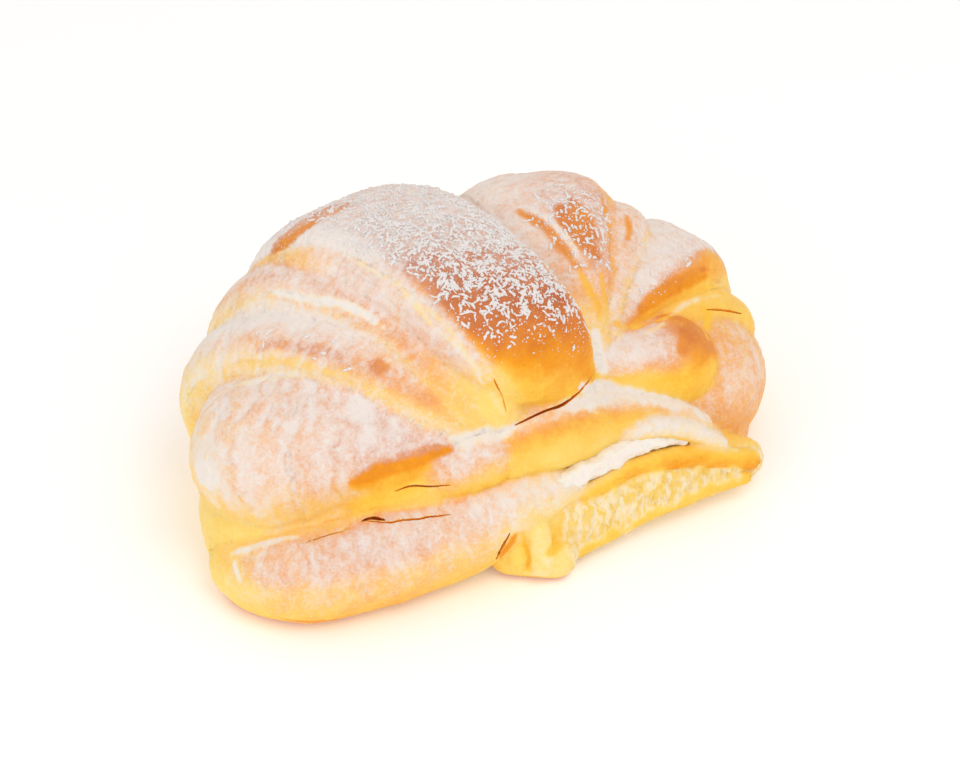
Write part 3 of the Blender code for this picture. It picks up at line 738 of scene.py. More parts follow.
def strand_tubes():
    """Upright strands of crumb along the torn face, leaning at random."""
    chance = random.Random(STRAND_SEED)
    face, _, _ = evenly_placed(TORN_FACE, 1, LINE_STATIONS)
    for _ in range(STRANDS):
        x = chance.uniform(*STRAND_SPAN)
        middle = np.array([x, np.interp(x, face[:, 0], face[:, 1]), np.interp(x, face[:, 0], face[:, 2])])
        middle += [0, chance.uniform(*STRAND_SETBACK), chance.uniform(*STRAND_RISE)]
        back = 0.25 * (middle[2] - TORN_MIDDLE) / TORN_MIDDLE + 0.2
        lean = np.array([chance.gauss(0, STRAND_LEAN), back, 1.0])
        half = lean * chance.uniform(*STRAND_LENGTH) / 2
        radius = chance.uniform(*STRAND_RADIUS)
        path = [middle - half, middle + [chance.gauss(0, STRAND_BOW), 0, 0], middle + half]
        radii = [radius * STRAND_ENDS, radius, radius * STRAND_ENDS]
        yield roll_tube(Roll("strand", path, radii), STRAND_STATIONS, STRAND_SECTION)


# What is cut out of the dough

CREAM_END_RADIUS = 6.0
CREAM_SQUARENESS = 2.6
SLIT_STATIONS = 40
SLIT_SECTION = 20
SLIT_SMOOTHING = 6  # stations to each side over which a gap's way in is evened
SLIT_END = 0.1  # share of its depth and opening that a gap has at its ends
HOLLOW_BAKE = 0.2
BASE_BAKE = 0.7
TABLE_REACH = 200
TABLE_DEPTH = 40


def cream_rings(gap, stations=60, section=SECTION_POINTS):
    """The rings of the layer of cream, or with a gap of the hollow that it lies in."""
    centres, depths, lengths = evenly_placed(CREAM_PATH, CREAM_HALF_DEPTH, stations)
    tangents, across, outward = level_frame(centres)
    centres = centres + tangents * (np.linspace(-gap, gap, len(centres))[:, None])
    rounding = end_rounding(lengths, CREAM_END_RADIUS, CREAM_END_RADIUS)
    return tube("cream", centres, across, outward, depths * rounding + gap,
                CREAM_HALF_HEIGHT * rounding + gap, CREAM_SQUARENESS, lengths, section=section).rings


def slit_rings(slit, skin_points, skin_normals):
    """The rings of a thin lens-shaped gap that goes straight into the skin along its line."""
    centres, openings, lengths = evenly_placed(slit.path, slit.opening, SLIT_STATIONS)
    tangents = unit(np.gradient(centres, axis=0))
    inward = np.zeros((len(centres), 3))
    for number, centre in enumerate(centres - PLAN_CENTRE):
        near = np.linalg.norm(skin_points - centre, axis=1) < SLIT_REACH
        inward[number] = -skin_normals[near].mean(axis=0) if near.any() else (0.0, 1.0, 0.0)
    padded = np.pad(inward, ((SLIT_SMOOTHING, SLIT_SMOOTHING), (0, 0)), "edge")
    window = 2 * SLIT_SMOOTHING + 1
    inward = np.stack([np.convolve(column, np.full(window, 1 / window), "valid")
                       for column in padded.T], 1)
    inward = square_to(tangents, inward)
    narrowing = np.sqrt(np.maximum(np.sin(math.pi * lengths / lengths[-1]), 0.0))
    narrowing = narrowing * (1 - SLIT_END) + SLIT_END
    return tube("slit", centres, inward, np.cross(inward, tangents), slit.depth * narrowing,
                openings * narrowing, 2.0, lengths, section=SLIT_SECTION).rings


def cut_wall(bake):
    """What the points of a cut's walls carry: this bake, which in a gap is painted shade, and no sugar.
    """
    return {"bake": bake, "sugar": 0.0, "clumps": 0.0, "torn": 0.0, "known": 1.0}


def cutter(name, rings, bake):
    """The mesh of a cutter, with its faces turned outward."""
    mesh = closed_mesh(name, [rings], **cut_wall(bake))
    solid = bmesh.new()
    solid.from_mesh(mesh)
    bmesh.ops.recalc_face_normals(solid, faces=solid.faces)
    if solid.calc_volume(signed=True) < 0:
        bmesh.ops.reverse_faces(solid, faces=solid.faces)
    solid.to_mesh(mesh)
    solid.free()
    return mesh


def below_table():
    """A box whose top is the table, to cut the flat base with."""
    sides = (-TABLE_REACH, TABLE_REACH)
    corners = np.array(list(itertools.product(sides, sides, (-TABLE_DEPTH, 0))), float)
    faces = np.array([(0, 1, 3, 2), (4, 6, 7, 5), (0, 4, 5, 1), (2, 3, 7, 6), (0, 2, 6, 4), (1, 5, 7, 3)])
    return mesh_of("below_table", corners, [faces], **cut_wall(BASE_BAKE))


def cut_out(body, mesh):
    """Takes the closed mesh's room out of the body."""
    knife = placed(mesh)
    cut = body.modifiers.new("cut", "BOOLEAN")
    cut.operation = "DIFFERENCE"
    cut.solver = "MANIFOLD"
    cut.object = knife
    apply_modifiers(body)
    bpy.data.objects.remove(knife)
    bpy.data.meshes.remove(mesh)


def fill_unknown_points(mesh):
    """Gives the points along a cut's edge the mean of what their neighbours carry."""
    known = held(mesh.attributes["known"].data, "value") > 0.5
    ends = held(mesh.edges, "vertices", 2, np.int32)
    ends = np.vstack([ends, ends[:, ::-1]])
    ends = ends[~known[ends[:, 0]] & known[ends[:, 1]]]
    count = np.bincount(ends[:, 0], minlength=len(known))
    for key in ("bake", "sugar", "clumps", "torn"):
        numbers = held(mesh.attributes[key].data, "value")
        total = np.bincount(ends[:, 0], weights=numbers[ends[:, 1]], minlength=len(known))
        carry(mesh, **{key: np.where(~known & (count > 0), total / np.maximum(count, 1), numbers)})


# The finish of the dough's skin

LAYER_SHOWS = 0.5  # a lower layer shows from this share of its half width on
NEIGHBOURS = 6  # wall points that a point of the skin may belong to
OFF_PLACE = 0.25  # how much a wall point's own distance counts, beside that of its wall
LOBE_ROUNDS = 8  # rounds that even the finish from lobe to lobe
SPOT_NUDGES = {"length": 5.0, "reach": 1.6, "seeds": (61, 67, 73)}
STREAK_NUDGES = {"length": 1.6, "reach": 0.4, "seeds": (79, 83, 89)}
SPOT_EDGE = (0.25, 1.0)
STREAK_EDGE = (0.6, 1.35)
STREAK_END = 0.35  # share of its width that a streak has at its ends
FOOT = (0.4, 3.0)  # heights between which the browned, bare foot fades out
FOOT_BAKE = 0.62
SUGAR_SLOPE = (-0.75, 0.0)  # how far upward the crust faces where sugar begins to hold, and holds
CLUMP_SLOPE = (-0.2, 0.2)

# What is known of each point of the skin: its lobe, its places along and across it, the latter also as
# a share of the half width, and how far up the lobe's section it lies
Skin = namedtuple("Skin", "lobe along across share up")


def on_lobes(skin, tubes, names):
    """Whether each point of the skin lies on one of the named lobes."""
    return np.isin(skin.lobe, [number for number, one in enumerate(tubes) if one.lobe in names])


def facing(one):
    """The way that each point of a tube's wall faces, up to its sign."""
    return unit(np.cross(one.tangent, np.roll(one.rings, -1, axis=1) - np.roll(one.rings, 1, axis=1)))


def nearest_lobes(points, tubes):
    """For each point of the skin, the lobe whose wall it lies on and its place along and across it."""
    shown = [one.side / one.width > LAYER_SHOWS if one.lobe.endswith("_layer") else one.width > 0
             for one in tubes]
    names = np.concatenate([np.full(seen.sum(), number) for number, seen in enumerate(shown)])
    places, along, side, up, width, tangent, sideways = (
        np.concatenate([getattr(one, key)[seen] for one, seen in zip(tubes, shown)])
        for key in ("rings", "along", "side", "up", "width", "tangent", "sideways"))
    faces = np.concatenate([facing(one)[seen] for one, seen in zip(tubes, shown)])
    tree = KDTree(len(places))
    for number, place in enumerate(places.tolist()):
        tree.insert(place, number)
    tree.balance()
    near = np.array([[found[1] for found in tree.find_n(point, NEIGHBOURS)] for point in points.tolist()])
    off = points[:, None] - places[near]
    gap = np.abs(np.sum(off * faces[near], axis=2)) + OFF_PLACE * np.linalg.norm(off, axis=2)
    chosen = np.arange(len(near)), gap.argmin(axis=1)
    near, off = near[chosen], off[chosen]
    along = along[near] + np.sum(off * tangent[near], axis=1)
    across = side[near] + np.sum(off * sideways[near], axis=1)
    share = np.clip(across / np.maximum(width[near], 1.0), -1, 1)
    return Skin(names[near], along, across, share, up[near])


def spot_share(points, spot):
    """1 at the middle of a spot and 0 from its edge on."""
    off = (points + PLAN_CENTRE - np.array(spot.middle)) / np.array(spot.radii)
    return 1 - rise(*SPOT_EDGE, np.linalg.norm(off, axis=1))


def streak_share(points, streak):
    """1 on a streak, 0 away from it, with a soft edge between."""
    line, _, _ = evenly_placed(streak.path, 1, LINE_STATIONS)
    share = np.zeros(len(points))
    reach = streak.half_width * 1.5 + 1.0
    near = np.all((points > line.min(axis=0) - reach) & (points < line.max(axis=0) + reach), axis=1)
    gap = np.linalg.norm(points[near][:, None] - line, axis=2)
    place = gap.argmin(axis=1) / (len(line) - 1)
    swell = np.sqrt(np.sin(math.pi * np.clip(place, CLOSED_END, 1 - CLOSED_END)))
    width = streak.half_width * (STREAK_END + (1 - STREAK_END) * swell)
    share[near] = 1 - rise(*STREAK_EDGE, gap.min(axis=1) / width)
    return share


def evened(mesh, numbers, rounds):
    """The points' values after each has been drawn towards its neighbours' mean some times."""
    first, second = held(mesh.edges, "vertices", 2, np.int32).T
    count = len(mesh.vertices)
    neighbours = np.bincount(first, minlength=count) + np.bincount(second, minlength=count)
    for _ in range(rounds):
        total = np.bincount(first, numbers[second], count) + np.bincount(second, numbers[first], count)
        numbers = (numbers + total) / (neighbours + 1)
    return numbers


def finish_of(mesh, points, normals, skin, tubes):
    """How far each point of the crust is baked, how much of it sugar hides, and where sugar clumps."""
    bake, sugar, clumps = np.zeros((3, len(points)))
    quarter_turns = np.arctan2(skin.share, skin.up) * 2 / math.pi
    wraps = {wrap.name for wrap in WRAPS}
    for number, one in enumerate(tubes):
        here = skin.lobe == number
        if not here.any():
            continue
        finish = FINISHES[one.lobe]
        place = (skin.share if one.lobe.removesuffix("_layer") in wraps else quarter_turns)[here]
        along = skin.along[here] - (LAST_WRAP_SLANT * place if one.lobe == "last_wrap" else 0)
        bake[here] = profile(finish.bake_along, along) * profile(finish.bake_across, place)
        sugar[here] = profile(finish.sugar_along, along) * profile(finish.sugar_across, place)
        if one.lobe in CLUMPED:
            clumps_along, clumps_across = CLUMPED[one.lobe]
            clumps[here] = profile(clumps_along, along) * profile(clumps_across, place)
    bake, sugar, clumps = (evened(mesh, numbers, LOBE_ROUNDS) for numbers in (bake, sugar, clumps))
    nudged = points + nudges(points, **SPOT_NUDGES)
    for spot in SPOTS:
        share = spot_share(nudged, spot)
        bake += share * spot.bake
        sugar += share * spot.sugar
    nudged = points + PLAN_CENTRE + nudges(points, **STREAK_NUDGES)
    for streak in STREAKS:
        share = streak_share(nudged, streak)
        bake += (streak.bake - bake) * share
        sugar += (streak.sugar - sugar) * share
    bake, sugar = evened(mesh, bake, 1), evened(mesh, sugar, 1)
    foot = 1 - rise(*FOOT, points[:, 2])
    bake = np.maximum(bake, FOOT_BAKE * foot)
    sugar = sugar * rise(*SUGAR_SLOPE, normals[:, 2]) * (1 - foot)
    clumps = clumps * rise(*CLUMP_SLOPE, normals[:, 2])
    return np.clip([bake, sugar, clumps], 0, 1)


# Where the torn crumb shows: in front of the first range, right of the second, below the third
TORN_FRONT = (31.0, 34.0)
TORN_LEFT_END = (4.0, 9.0)
TORN_TOP = (16.5, 19.0)

# The skin's relief: lengths over which each kind changes
SWELL_LENGTH = 13.0
BARE_WRINKLE = 0.3  # share of their height that wrinkles keep on bare crust
WRINKLE_SPACING = 1.9
WRINKLE_LENGTH = 6.5
LOBE_APART = 17.0  # sets the wrinkles of one lobe apart from the next one's
WRINKLE_WANDER_LENGTH = 4.0
WRINKLE_WANDER = np.array([0.8, 0.5, 0.0])
LEFT_WRINKLE_SPACING = 2.6  # on the big left lobe, where the wrinkles are also bolder and run aslant
LEFT_WRINKLE_SLANT = 0.45
LEFT_WRINKLE_HEIGHT = 1.5
LAYERED_EDGE = (0.74, 0.9)  # shares of a wrap's half width between which its thin layers begin
LAYER_PATCH = 7.0
LAYER_PATCHES = (-0.4, 0.5)  # values of the noise between which a patch of layers begins
LAYER_WAVE = 9.0
LAYER_WAVE_HEIGHT = 0.7
WRAP_DEPTH = 8.0  # how far the layers reach from a wrap's edge to its top
CRUMB_HOLE = np.array([1.5, 1.5, 3.2])
GROUNDED = (0.3, 2.5)  # heights between which the relief begins


def torn_share(points, skin, tubes):
    """1 on the torn face of the right horn, where the crumb shows, and 0 on the crust."""
    place = points + PLAN_CENTRE
    front, right = rise(*TORN_FRONT, -place[:, 1]), rise(*TORN_LEFT_END, place[:, 0])
    return on_lobes(skin, tubes, TORN_LOBES) * front * right * (1 - rise(*TORN_TOP, place[:, 2]))


def wrinkles_of(points, skin, tubes):
    """Fine ridges that run across a lobe, aslant on the big left one, up to 1, or bolder there."""
    left = on_lobes(skin, tubes, ("left_wrap_4",))
    aslant = (skin.along + LEFT_WRINKLE_SLANT * skin.across) / LEFT_WRINKLE_SPACING
    phase = np.where(left, aslant, skin.along / WRINKLE_SPACING)
    places = np.stack([phase, skin.across / WRINKLE_LENGTH, skin.lobe * LOBE_APART], 1)
    wander = layered_noise(points / WRINKLE_WANDER_LENGTH, 23)[:, None] * WRINKLE_WANDER
    ridges = 1 - np.abs(lattice_noise(places + wander, 31)) * 2
    return ridges * np.where(left, LEFT_WRINKLE_HEIGHT, 1.0)


def relief_of(points, skin, wrinkle, sugar, torn, sizes):
    """How far each point of the skin stands out of the smooth form, in millimetres."""
    swell = layered_noise(points / SWELL_LENGTH, 11) * sizes.swell_height / MM
    wrinkle = wrinkle * (BARE_WRINKLE + sugar) * sizes.wrinkle_height / MM
    patches = rise(*LAYER_PATCHES, lattice_noise(points / LAYER_PATCH, 43))
    edge = rise(*LAYERED_EDGE, np.abs(skin.share)) * patches
    level = skin.up * WRAP_DEPTH + lattice_noise(points / LAYER_WAVE, 41) * LAYER_WAVE_HEIGHT
    layers = np.sin(level / (sizes.layer_spacing / MM) * 2 * math.pi) * edge * sizes.layer_height / MM
    holes = layered_noise(points * (1 / CRUMB_HOLE), 53, 3)
    crumb = -np.abs(holes) * torn * sizes.crumb_height / MM
    return (swell + (wrinkle + layers) * (1 - torn) + crumb) * rise(*GROUNDED, points[:, 2])


# The pieces

# A wrinkle's ridge loses this much sugar, where the crust is neither bare nor white all over; these
# are the shares of sugar between which bareness ends and whiteness begins
RIDGE_LOSS = 0.12
BARE = (0.2, 0.5)
WHITE = (0.88, 0.98)
CREAM_CELL = 0.4
CREAM_STATIONS = 120
CREAM_SECTION = 80
BEAD_STATIONS = 80
CREAM_LUMP = np.array([2.6, 2.6, 2.0])
CREAM_LUMP_HEIGHT = 0.6
CREAM_LUMPS_FRONT = (36.0, 39.0)  # how far to the front the lumps begin
CREAM_SWELL = 0.1  # how far the cream's skin stands out all over


class CROISSANT_OT_dough(bpy.types.Operator):
    """Builds the baked dough, with its wraps, folds, gaps and torn crumb"""
    bl_idname = "croissant.dough"
    bl_label = "Baked dough"

    def execute(self, context):
        sizes = context.scene.croissant_sizes
        tubes = [one for wrap in WRAPS for one in wrap_tubes(wrap)]
        tubes += [roll_tube(roll) for roll in ROLLS]
        tubes += list(strand_tubes())
        cores = [core_tube(*core) for core in CORE]
        dough = placed(closed_mesh("baked_dough", [one.rings for one in tubes + cores]))
        join_tubes(dough, sizes.skin_cell, smoothing=2)
        points, normals = points_and_normals(dough.data)
        skin = nearest_lobes(points, tubes)
        bake, sugar, clumps = finish_of(dough.data, points, normals, skin, tubes)
        torn = evened(dough.data, torn_share(points, skin, tubes), 2)
        wrinkle = wrinkles_of(points, skin, tubes)
        points = points + normals * relief_of(points, skin, wrinkle, sugar, torn, sizes)[:, None]
        rubbed = RIDGE_LOSS * wrinkle * rise(*BARE, sugar) * (1 - rise(*WHITE, sugar))
        sugar = np.clip(sugar - rubbed, 0, 1)
        move_points(dough.data, points)
        carry(dough.data, bake=bake, sugar=sugar, clumps=clumps, torn=torn, known=1.0)
        cut_out(dough, cutter("cream_hollow", cream_rings(CREAM_GAP), HOLLOW_BAKE))
        # each gap's walls take its slit's darker bake: painted shade in the gap
        for slit in SLITS:
            cut_out(dough, cutter("slit", slit_rings(slit, points, normals), slit.bake))
        cut_out(dough, below_table())
        fill_unknown_points(dough.data)
        dough.data.update()
        dress(dough, crust_material(context.scene.croissant_colours))
        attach(dough, "root")
        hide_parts("croissant")
        return {"FINISHED"}


class CROISSANT_OT_cream(bpy.types.Operator):
    """Builds the layer of cream that shows in the seam"""
    bl_idname = "croissant.cream"
    bl_label = "Cream"

    def execute(self, context):
        bead = roll_tube(Roll("bead", CREAM_BEAD, CREAM_BEAD_RADII), BEAD_STATIONS)
        layer = cream_rings(-CREAM_GAP, CREAM_STATIONS, CREAM_SECTION)
        cream = placed(closed_mesh("cream_filling", [layer, bead.rings]))
        join_tubes(cream, CREAM_CELL * MM)
        points, normals = points_and_normals(cream.data)
        lumps = layered_noise(points / CREAM_LUMP, 71, 3) * CREAM_LUMP_HEIGHT
        lumps = lumps * rise(*CREAM_LUMPS_FRONT, -points[:, 1])
        move_points(cream.data, points + normals * (lumps + CREAM_SWELL)[:, None])
        dress(cream, cream_material(context.scene.croissant_colours))
        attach(cream, "root")
        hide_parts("cream")
        return {"FINISHED"}


def scattered(dough, key, shares, count, chance):
    """Places on the dough and their slopes, drawn by area and by a share for what the points carry."""
    mesh = dough.data
    mesh.calc_loop_triangles()
    corners = held(mesh.loop_triangles, "vertices", 3, np.int32)
    points, normals = points_and_normals(mesh)
    carried = held(mesh.attributes[key].data, "value")[corners].mean(axis=1)
    sides = points[corners]
    doubled = np.cross(sides[:, 1] - sides[:, 0], sides[:, 2] - sides[:, 0])
    weight = np.linalg.norm(doubled, axis=1) * profile(shares, carried)
    chosen = chance.choice(len(corners), size=count, p=weight / weight.sum())
    parts = chance.dirichlet((1.0, 1.0, 1.0), size=count)
    places = np.sum(sides[chosen] * parts[..., None], axis=1)
    return places, unit(normals[corners[chosen]].mean(axis=1))


def laid_on(dough, spine):
    """The points of the spines brought down onto the dough, and the slopes there."""
    down, slopes = np.zeros_like(spine), np.zeros_like(spine)
    for place in np.ndindex(spine.shape[:2]):
        _, near, slope, _ = dough.closest_point_on_mesh(Vector(spine[place]) * MM)
        down[place] = np.array(near) / MM
        slopes[place] = slope
    return down, unit(slopes + np.roll(slopes, 1, axis=1) + np.roll(slopes, -1, axis=1))


# Shares of the clumps and specks by what the points of the dough carry
CLUMP_SHARES = [(0, 0), (.05, 0), (1, 1)]
AMONG_CLUMPS = [(0, 0), (.03, .2), (.3, 1), (1, 1)]
THIN_FILM = [(0, 0), (.06, .05), (.15, 1), (.5, 1), (.8, .1), (1, 0)]

# A clump's rings and their points, and how it is drawn: ranges, and spreads of its turns in radians
CLUMP_SEED = 101
CLUMP_RINGS = 8
CLUMP_SECTION = 6
CLUMP_LENGTHS = (0.2, 1.0)
CLUMP_SKEW = 1.3  # makes short clumps the more common
CLUMP_WIDTHS = (0.65, 1.3)
CLUMP_WAY = 0.25
CLUMP_BEND = 0.55
CLUMP_HOOK = 0.35
CLUMP_TURN = 0.75
CLUMP_WRIGGLE = 0.3
CLUMP_THICKNESS = (0.55, 1.3)
CLUMP_LUMPS = (0.7, 1.25)
CLUMP_FLATNESS = 0.8
CLUMP_LIFT = 0.3  # share of its thickness that a clump's middle lies above the crust

# A speck is a lump with six corners and eight faces
SPECK_SEED = 211
SPECK_SIZES = (0.3, 1.0)
SPECK_SKEW = 1.5  # makes small specks the more common
SPECK_LUMPS = (0.6, 1.3)
THIN_SPECK = 0.7  # how big the specks of a thin film are beside the others
SPECK_CORNERS = np.array([(1, 0, 0), (0, 1, 0), (-1, 0, 0), (0, -1, 0), (0, 0, 1), (0, 0, -1)], float)
SPECK_FACES = np.array([(0, 1, 4), (1, 2, 4), (2, 3, 4), (3, 0, 4),
                        (1, 0, 5), (2, 1, 5), (3, 2, 5), (0, 3, 5)])


class CROISSANT_OT_sugar_clumps(bpy.types.Operator):
    """Lays the curved, ragged clumps of powdered sugar on the browned crust"""
    bl_idname = "croissant.sugar_clumps"
    bl_label = "Clumps of sugar"

    def execute(self, context):
        sizes = context.scene.croissant_sizes
        dough = bpy.data.objects["baked_dough"]
        chance = np.random.default_rng(CLUMP_SEED)
        places, slopes = scattered(dough, "clumps", CLUMP_SHARES, sizes.clumps, chance)
        count, rings = len(places), CLUMP_RINGS
        length = chance.uniform(*CLUMP_LENGTHS, count) ** CLUMP_SKEW * sizes.clump_length / MM
        width = chance.uniform(*CLUMP_WIDTHS, count) * sizes.clump_width / MM
        # most run downhill, then turn, bend, hook and wriggle
        downhill = slopes * slopes[:, 2:] - [0.0, 0.0, 1.0]
        first = square_to(slopes, unit(downhill + chance.normal(0, CLUMP_WAY, (count, 3))))
        second = np.cross(slopes, first)
        step = np.linspace(-0.5, 0.5, rings)
        bend = chance.normal(0, CLUMP_BEND, count)[:, None] * step
        bend = bend + chance.normal(0, CLUMP_HOOK, count)[:, None] * step ** 2 * 4
        angle = chance.normal(0, CLUMP_TURN, count)[:, None] + bend
        angle = angle + chance.normal(0, CLUMP_WRIGGLE, (count, rings))
        ahead = np.cos(angle)[..., None] * first[:, None] + np.sin(angle)[..., None] * second[:, None]
        spine = np.cumsum(ahead, axis=1) * (length / rings)[:, None, None]
        spine, slopes = laid_on(dough, places[:, None] + spine - spine.mean(axis=1, keepdims=True))
        # uneven rings stand around the spine, which lies a little above the crust
        aside = unit(np.cross(unit(np.gradient(spine, axis=1)), slopes))
        taper = np.sqrt(np.maximum(1 - (np.abs(step) * 2) ** 4, CLOSED_END))
        fat = (taper * width[:, None] * chance.uniform(*CLUMP_THICKNESS, (count, rings)))[..., None, None]
        aside, slopes = aside[:, :, None], slopes[:, :, None]
        around = np.linspace(0, 2 * math.pi, CLUMP_SECTION, endpoint=False)
        tilt = np.cos(around)[:, None] * aside + np.sin(around)[:, None] * slopes * CLUMP_FLATNESS
        tilt = tilt * chance.uniform(*CLUMP_LUMPS, (count, rings, CLUMP_SECTION, 1))
        points = spine[:, :, None] + tilt * fat + slopes * fat * CLUMP_LIFT
        clumps = placed(mesh_of("sugar_clumps", points.reshape(-1, 3), tube_faces(*points.shape[:3])))
        dress(clumps, sugar_material(context.scene.croissant_colours))
        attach(clumps, "root")
        return {"FINISHED"}


class CROISSANT_OT_sugar_specks(bpy.types.Operator):
    """Scatters the loose specks of powdered sugar among the clumps and where the film thins out"""
    bl_idname = "croissant.sugar_specks"
    bl_label = "Specks of sugar"

    def execute(self, context):
        sizes = context.scene.croissant_sizes
        dough = bpy.data.objects["baked_dough"]
        chance = np.random.default_rng(SPECK_SEED)
        among = scattered(dough, "clumps", AMONG_CLUMPS, sizes.specks * 2 // 3, chance)
        thin = scattered(dough, "sugar", THIN_FILM, sizes.specks // 3, chance)
        places, slopes = (np.vstack(both) for both in zip(among, thin))
        count = len(places)
        size = chance.uniform(*SPECK_SIZES, count) ** SPECK_SKEW * sizes.speck_width / MM
        size[len(among[0]):] *= THIN_SPECK
        form = SPECK_CORNERS * chance.uniform(*SPECK_LUMPS, (count, 6, 1)) * size[:, None, None]
        first = unit(np.cross(slopes, chance.normal(size=(count, 3))))
        turned = np.stack([first, np.cross(slopes, first), slopes], 1)
        points = places[:, None] + np.einsum("nij,njk->nik", form, turned)
        faces = SPECK_FACES + (np.arange(count) * 6)[:, None, None]
        specks = placed(mesh_of("sugar_specks", points.reshape(-1, 3), [faces.reshape(-1, 3)]))
        dress(specks, bpy.data.materials["powdered sugar"])
        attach(specks, "root")
        return {"FINISHED"}


# Materials

def node(tree, kind, inputs=(), **settings):
    """Adds a node with its settings, and gives its inputs a value or a link from another's output."""
    made = tree.nodes.new("ShaderNode" + kind)
    for key, value in settings.items():
        setattr(made, key, value)
    for key, source in dict(inputs).items():
        if isinstance(source, bpy.types.NodeSocket):
            tree.links.new(source, made.inputs[key])
        else:
            made.inputs[key].default_value = source
    return made


def new_material(name):
    """An empty material, its tree, and where a point lies on the object."""
    material = bpy.data.materials.new(name)
    material.use_nodes = True
    material.node_tree.nodes.clear()
    return material, material.node_tree, node(material.node_tree, "TexCoord").outputs["Object"]


def per_mm(millimetres):
    """The scale of a pattern that repeats at this length."""
    return 1.0 / (millimetres * MM)


def opaque(colour, share=1.0):
    """A colour setting as a node takes it, times one share or a share for each of its parts."""
    return (*(np.array(colour) * share), 1.0)


def dress(piece, material):
    """Gives the piece its one material."""
    piece.data.materials.clear()
    piece.data.materials.append(material)


def crust_material(colours):
    """Rich brioche dough brushed with egg and baked, then sugared through a sieve."""
    # The egg glaze gives bare crust a satin gloss and takes it from pale yellow through gold to brown;
    # the torn crumb is matt, egg yellow and white in upright strands; the sieved sugar is chalky, and
    # lets the crust through as peach where it lies thin.
    material, tree, place = new_material("egg-glazed brioche crust")
    bake, sugar, torn = (node(tree, "Attribute", attribute_name=key).outputs["Fac"]
                         for key in ("bake", "sugar", "torn"))
    upright = node(tree, "Mapping", {"Vector": place, "Scale": (1.0, 1.0, 0.35)}).outputs[0]
    # sizes in millimetres of the bake's blotches and pores, the powder's drifts and grains, and the
    # crumb's strands
    blotches, pores, drifts, grains, strands = (
        node(tree, "TexNoise", {"Vector": vector, "Scale": per_mm(size), "Detail": detail,
                                "Roughness": rough, "Distortion": twist}).outputs["Fac"]
        for vector, size, detail, rough, twist in (
            (place, 6.5, 3.0, 0.5, 0.6), (place, 0.9, 2.0, 0.5, 0.0), (place, 3.0, 2.0, 0.5, 0.8),
            (place, 0.75, 2.0, 0.6, 0.0), (upright, 1.6, 3.0, 0.5, 0.5)))
    mottled, powdered = bake, sugar
    for noise, share in ((blotches, 0.26), (pores, 0.12)):
        mottled = node(tree, "Math", {0: noise, 1: share, 2: mottled},
                       operation="MULTIPLY_ADD").outputs[0]
    for noise, share in ((drifts, 0.6), (grains, 0.6)):
        powdered = node(tree, "Math", {0: noise, 1: share, 2: powdered},
                        operation="MULTIPLY_ADD").outputs[0]
    shade = node(tree, "MapRange", {"Value": mottled, "From Min": 0.19, "From Max": 1.19}).outputs[0]
    crust, crumb = (node(tree, "ValToRGB", {"Fac": value}) for value in (shade, strands))
    scales = {
        crust: [(0.05, colours.bake_pale), (0.25, colours.bake_yellow), (0.40, colours.bake_gold),
                (0.56, colours.bake_orange), (0.74, colours.bake_brown), (0.92, colours.bake_dark)],
        crumb: [(0.40, colours.crumb_yellow), (0.58, colours.crumb_white)],
    }
    for scale, stops in scales.items():
        elements = scale.color_ramp.elements
        for _ in range(len(stops) - len(elements)):
            elements.new(0.5)
        for element, (position, colour) in zip(elements, stops):
            element.position = position
            element.color = opaque(colour)
    dough = node(tree, "Mix", {0: torn, 6: crust.outputs[0], 7: crumb.outputs[0]},
                 data_type="RGBA").outputs[2]
    # the powder lies in patches wherever there is any, and as an even veil where there is much
    cover = node(tree, "MapRange", {"Value": powdered, "From Min": 0.6, "From Max": 1.6},
                 interpolation_type="SMOOTHSTEP").outputs[0]
    sugared = node(tree, "MapRange", {"Value": sugar, "From Max": 0.2, "To Max": 0.94}).outputs[0]
    patchy = node(tree, "Math", {0: cover, 1: sugared}, operation="MULTIPLY").outputs[0]
    veil = node(tree, "Math", {0: sugar, 1: 0.55}, operation="MULTIPLY").outputs[0]
    film = node(tree, "Math", {0: patchy, 1: veil}, operation="MAXIMUM").outputs[0]
    colour = node(tree, "Mix", {0: film, 6: dough, 7: opaque(colours.sugar)}, data_type="RGBA").outputs[2]
    matt = node(tree, "Math", {0: film, 1: torn}, operation="MAXIMUM").outputs[0]
    roughness = node(tree, "MapRange", {"Value": matt, "To Min": 0.4, "To Max": 0.88}).outputs[0]
    height = node(tree, "Mix", {"Factor": film, "A": pores, "B": grains}).outputs[0]
    bump = node(tree, "Bump", {"Strength": 0.45, "Distance": 0.3 * MM, "Height": height})
    shader = node(tree, "BsdfPrincipled", {
        "Base Color": colour, "Roughness": roughness, "Normal": bump.outputs[0], "Subsurface Weight": 0.1,
        "Subsurface Scale": 2.0 * MM, "Subsurface Radius": (1.0, 0.5, 0.2), "Specular IOR Level": 0.22})
    node(tree, "OutputMaterial", {"Surface": shader.outputs[0]})
    return material


def cream_material(colours):
    """Pastry cream, whipped and piped into the seam."""
    # Smooth and moist, with a soft shine; light goes a little way in, so its folds look warm, not grey.
    material, tree, place = new_material("whipped pastry cream")
    swirl, fine = (node(tree, "TexNoise", {"Vector": place, "Scale": per_mm(size)}).outputs["Fac"]
                   for size in (5.0, 0.7))
    warm = opaque(colours.cream, (1, 0.95, 0.88))
    colour = node(tree, "Mix", {0: swirl, 6: warm, 7: opaque(colours.cream)}, data_type="RGBA").outputs[2]
    bump = node(tree, "Bump", {"Strength": 0.3, "Distance": 0.2 * MM, "Height": fine})
    shader = node(tree, "BsdfPrincipled", {
        "Base Color": colour, "Normal": bump.outputs[0], "Roughness": 0.42, "Subsurface Weight": 0.2,
        "Subsurface Scale": 2.0 * MM})
    node(tree, "OutputMaterial", {"Surface": shader.outputs[0]})
    return material


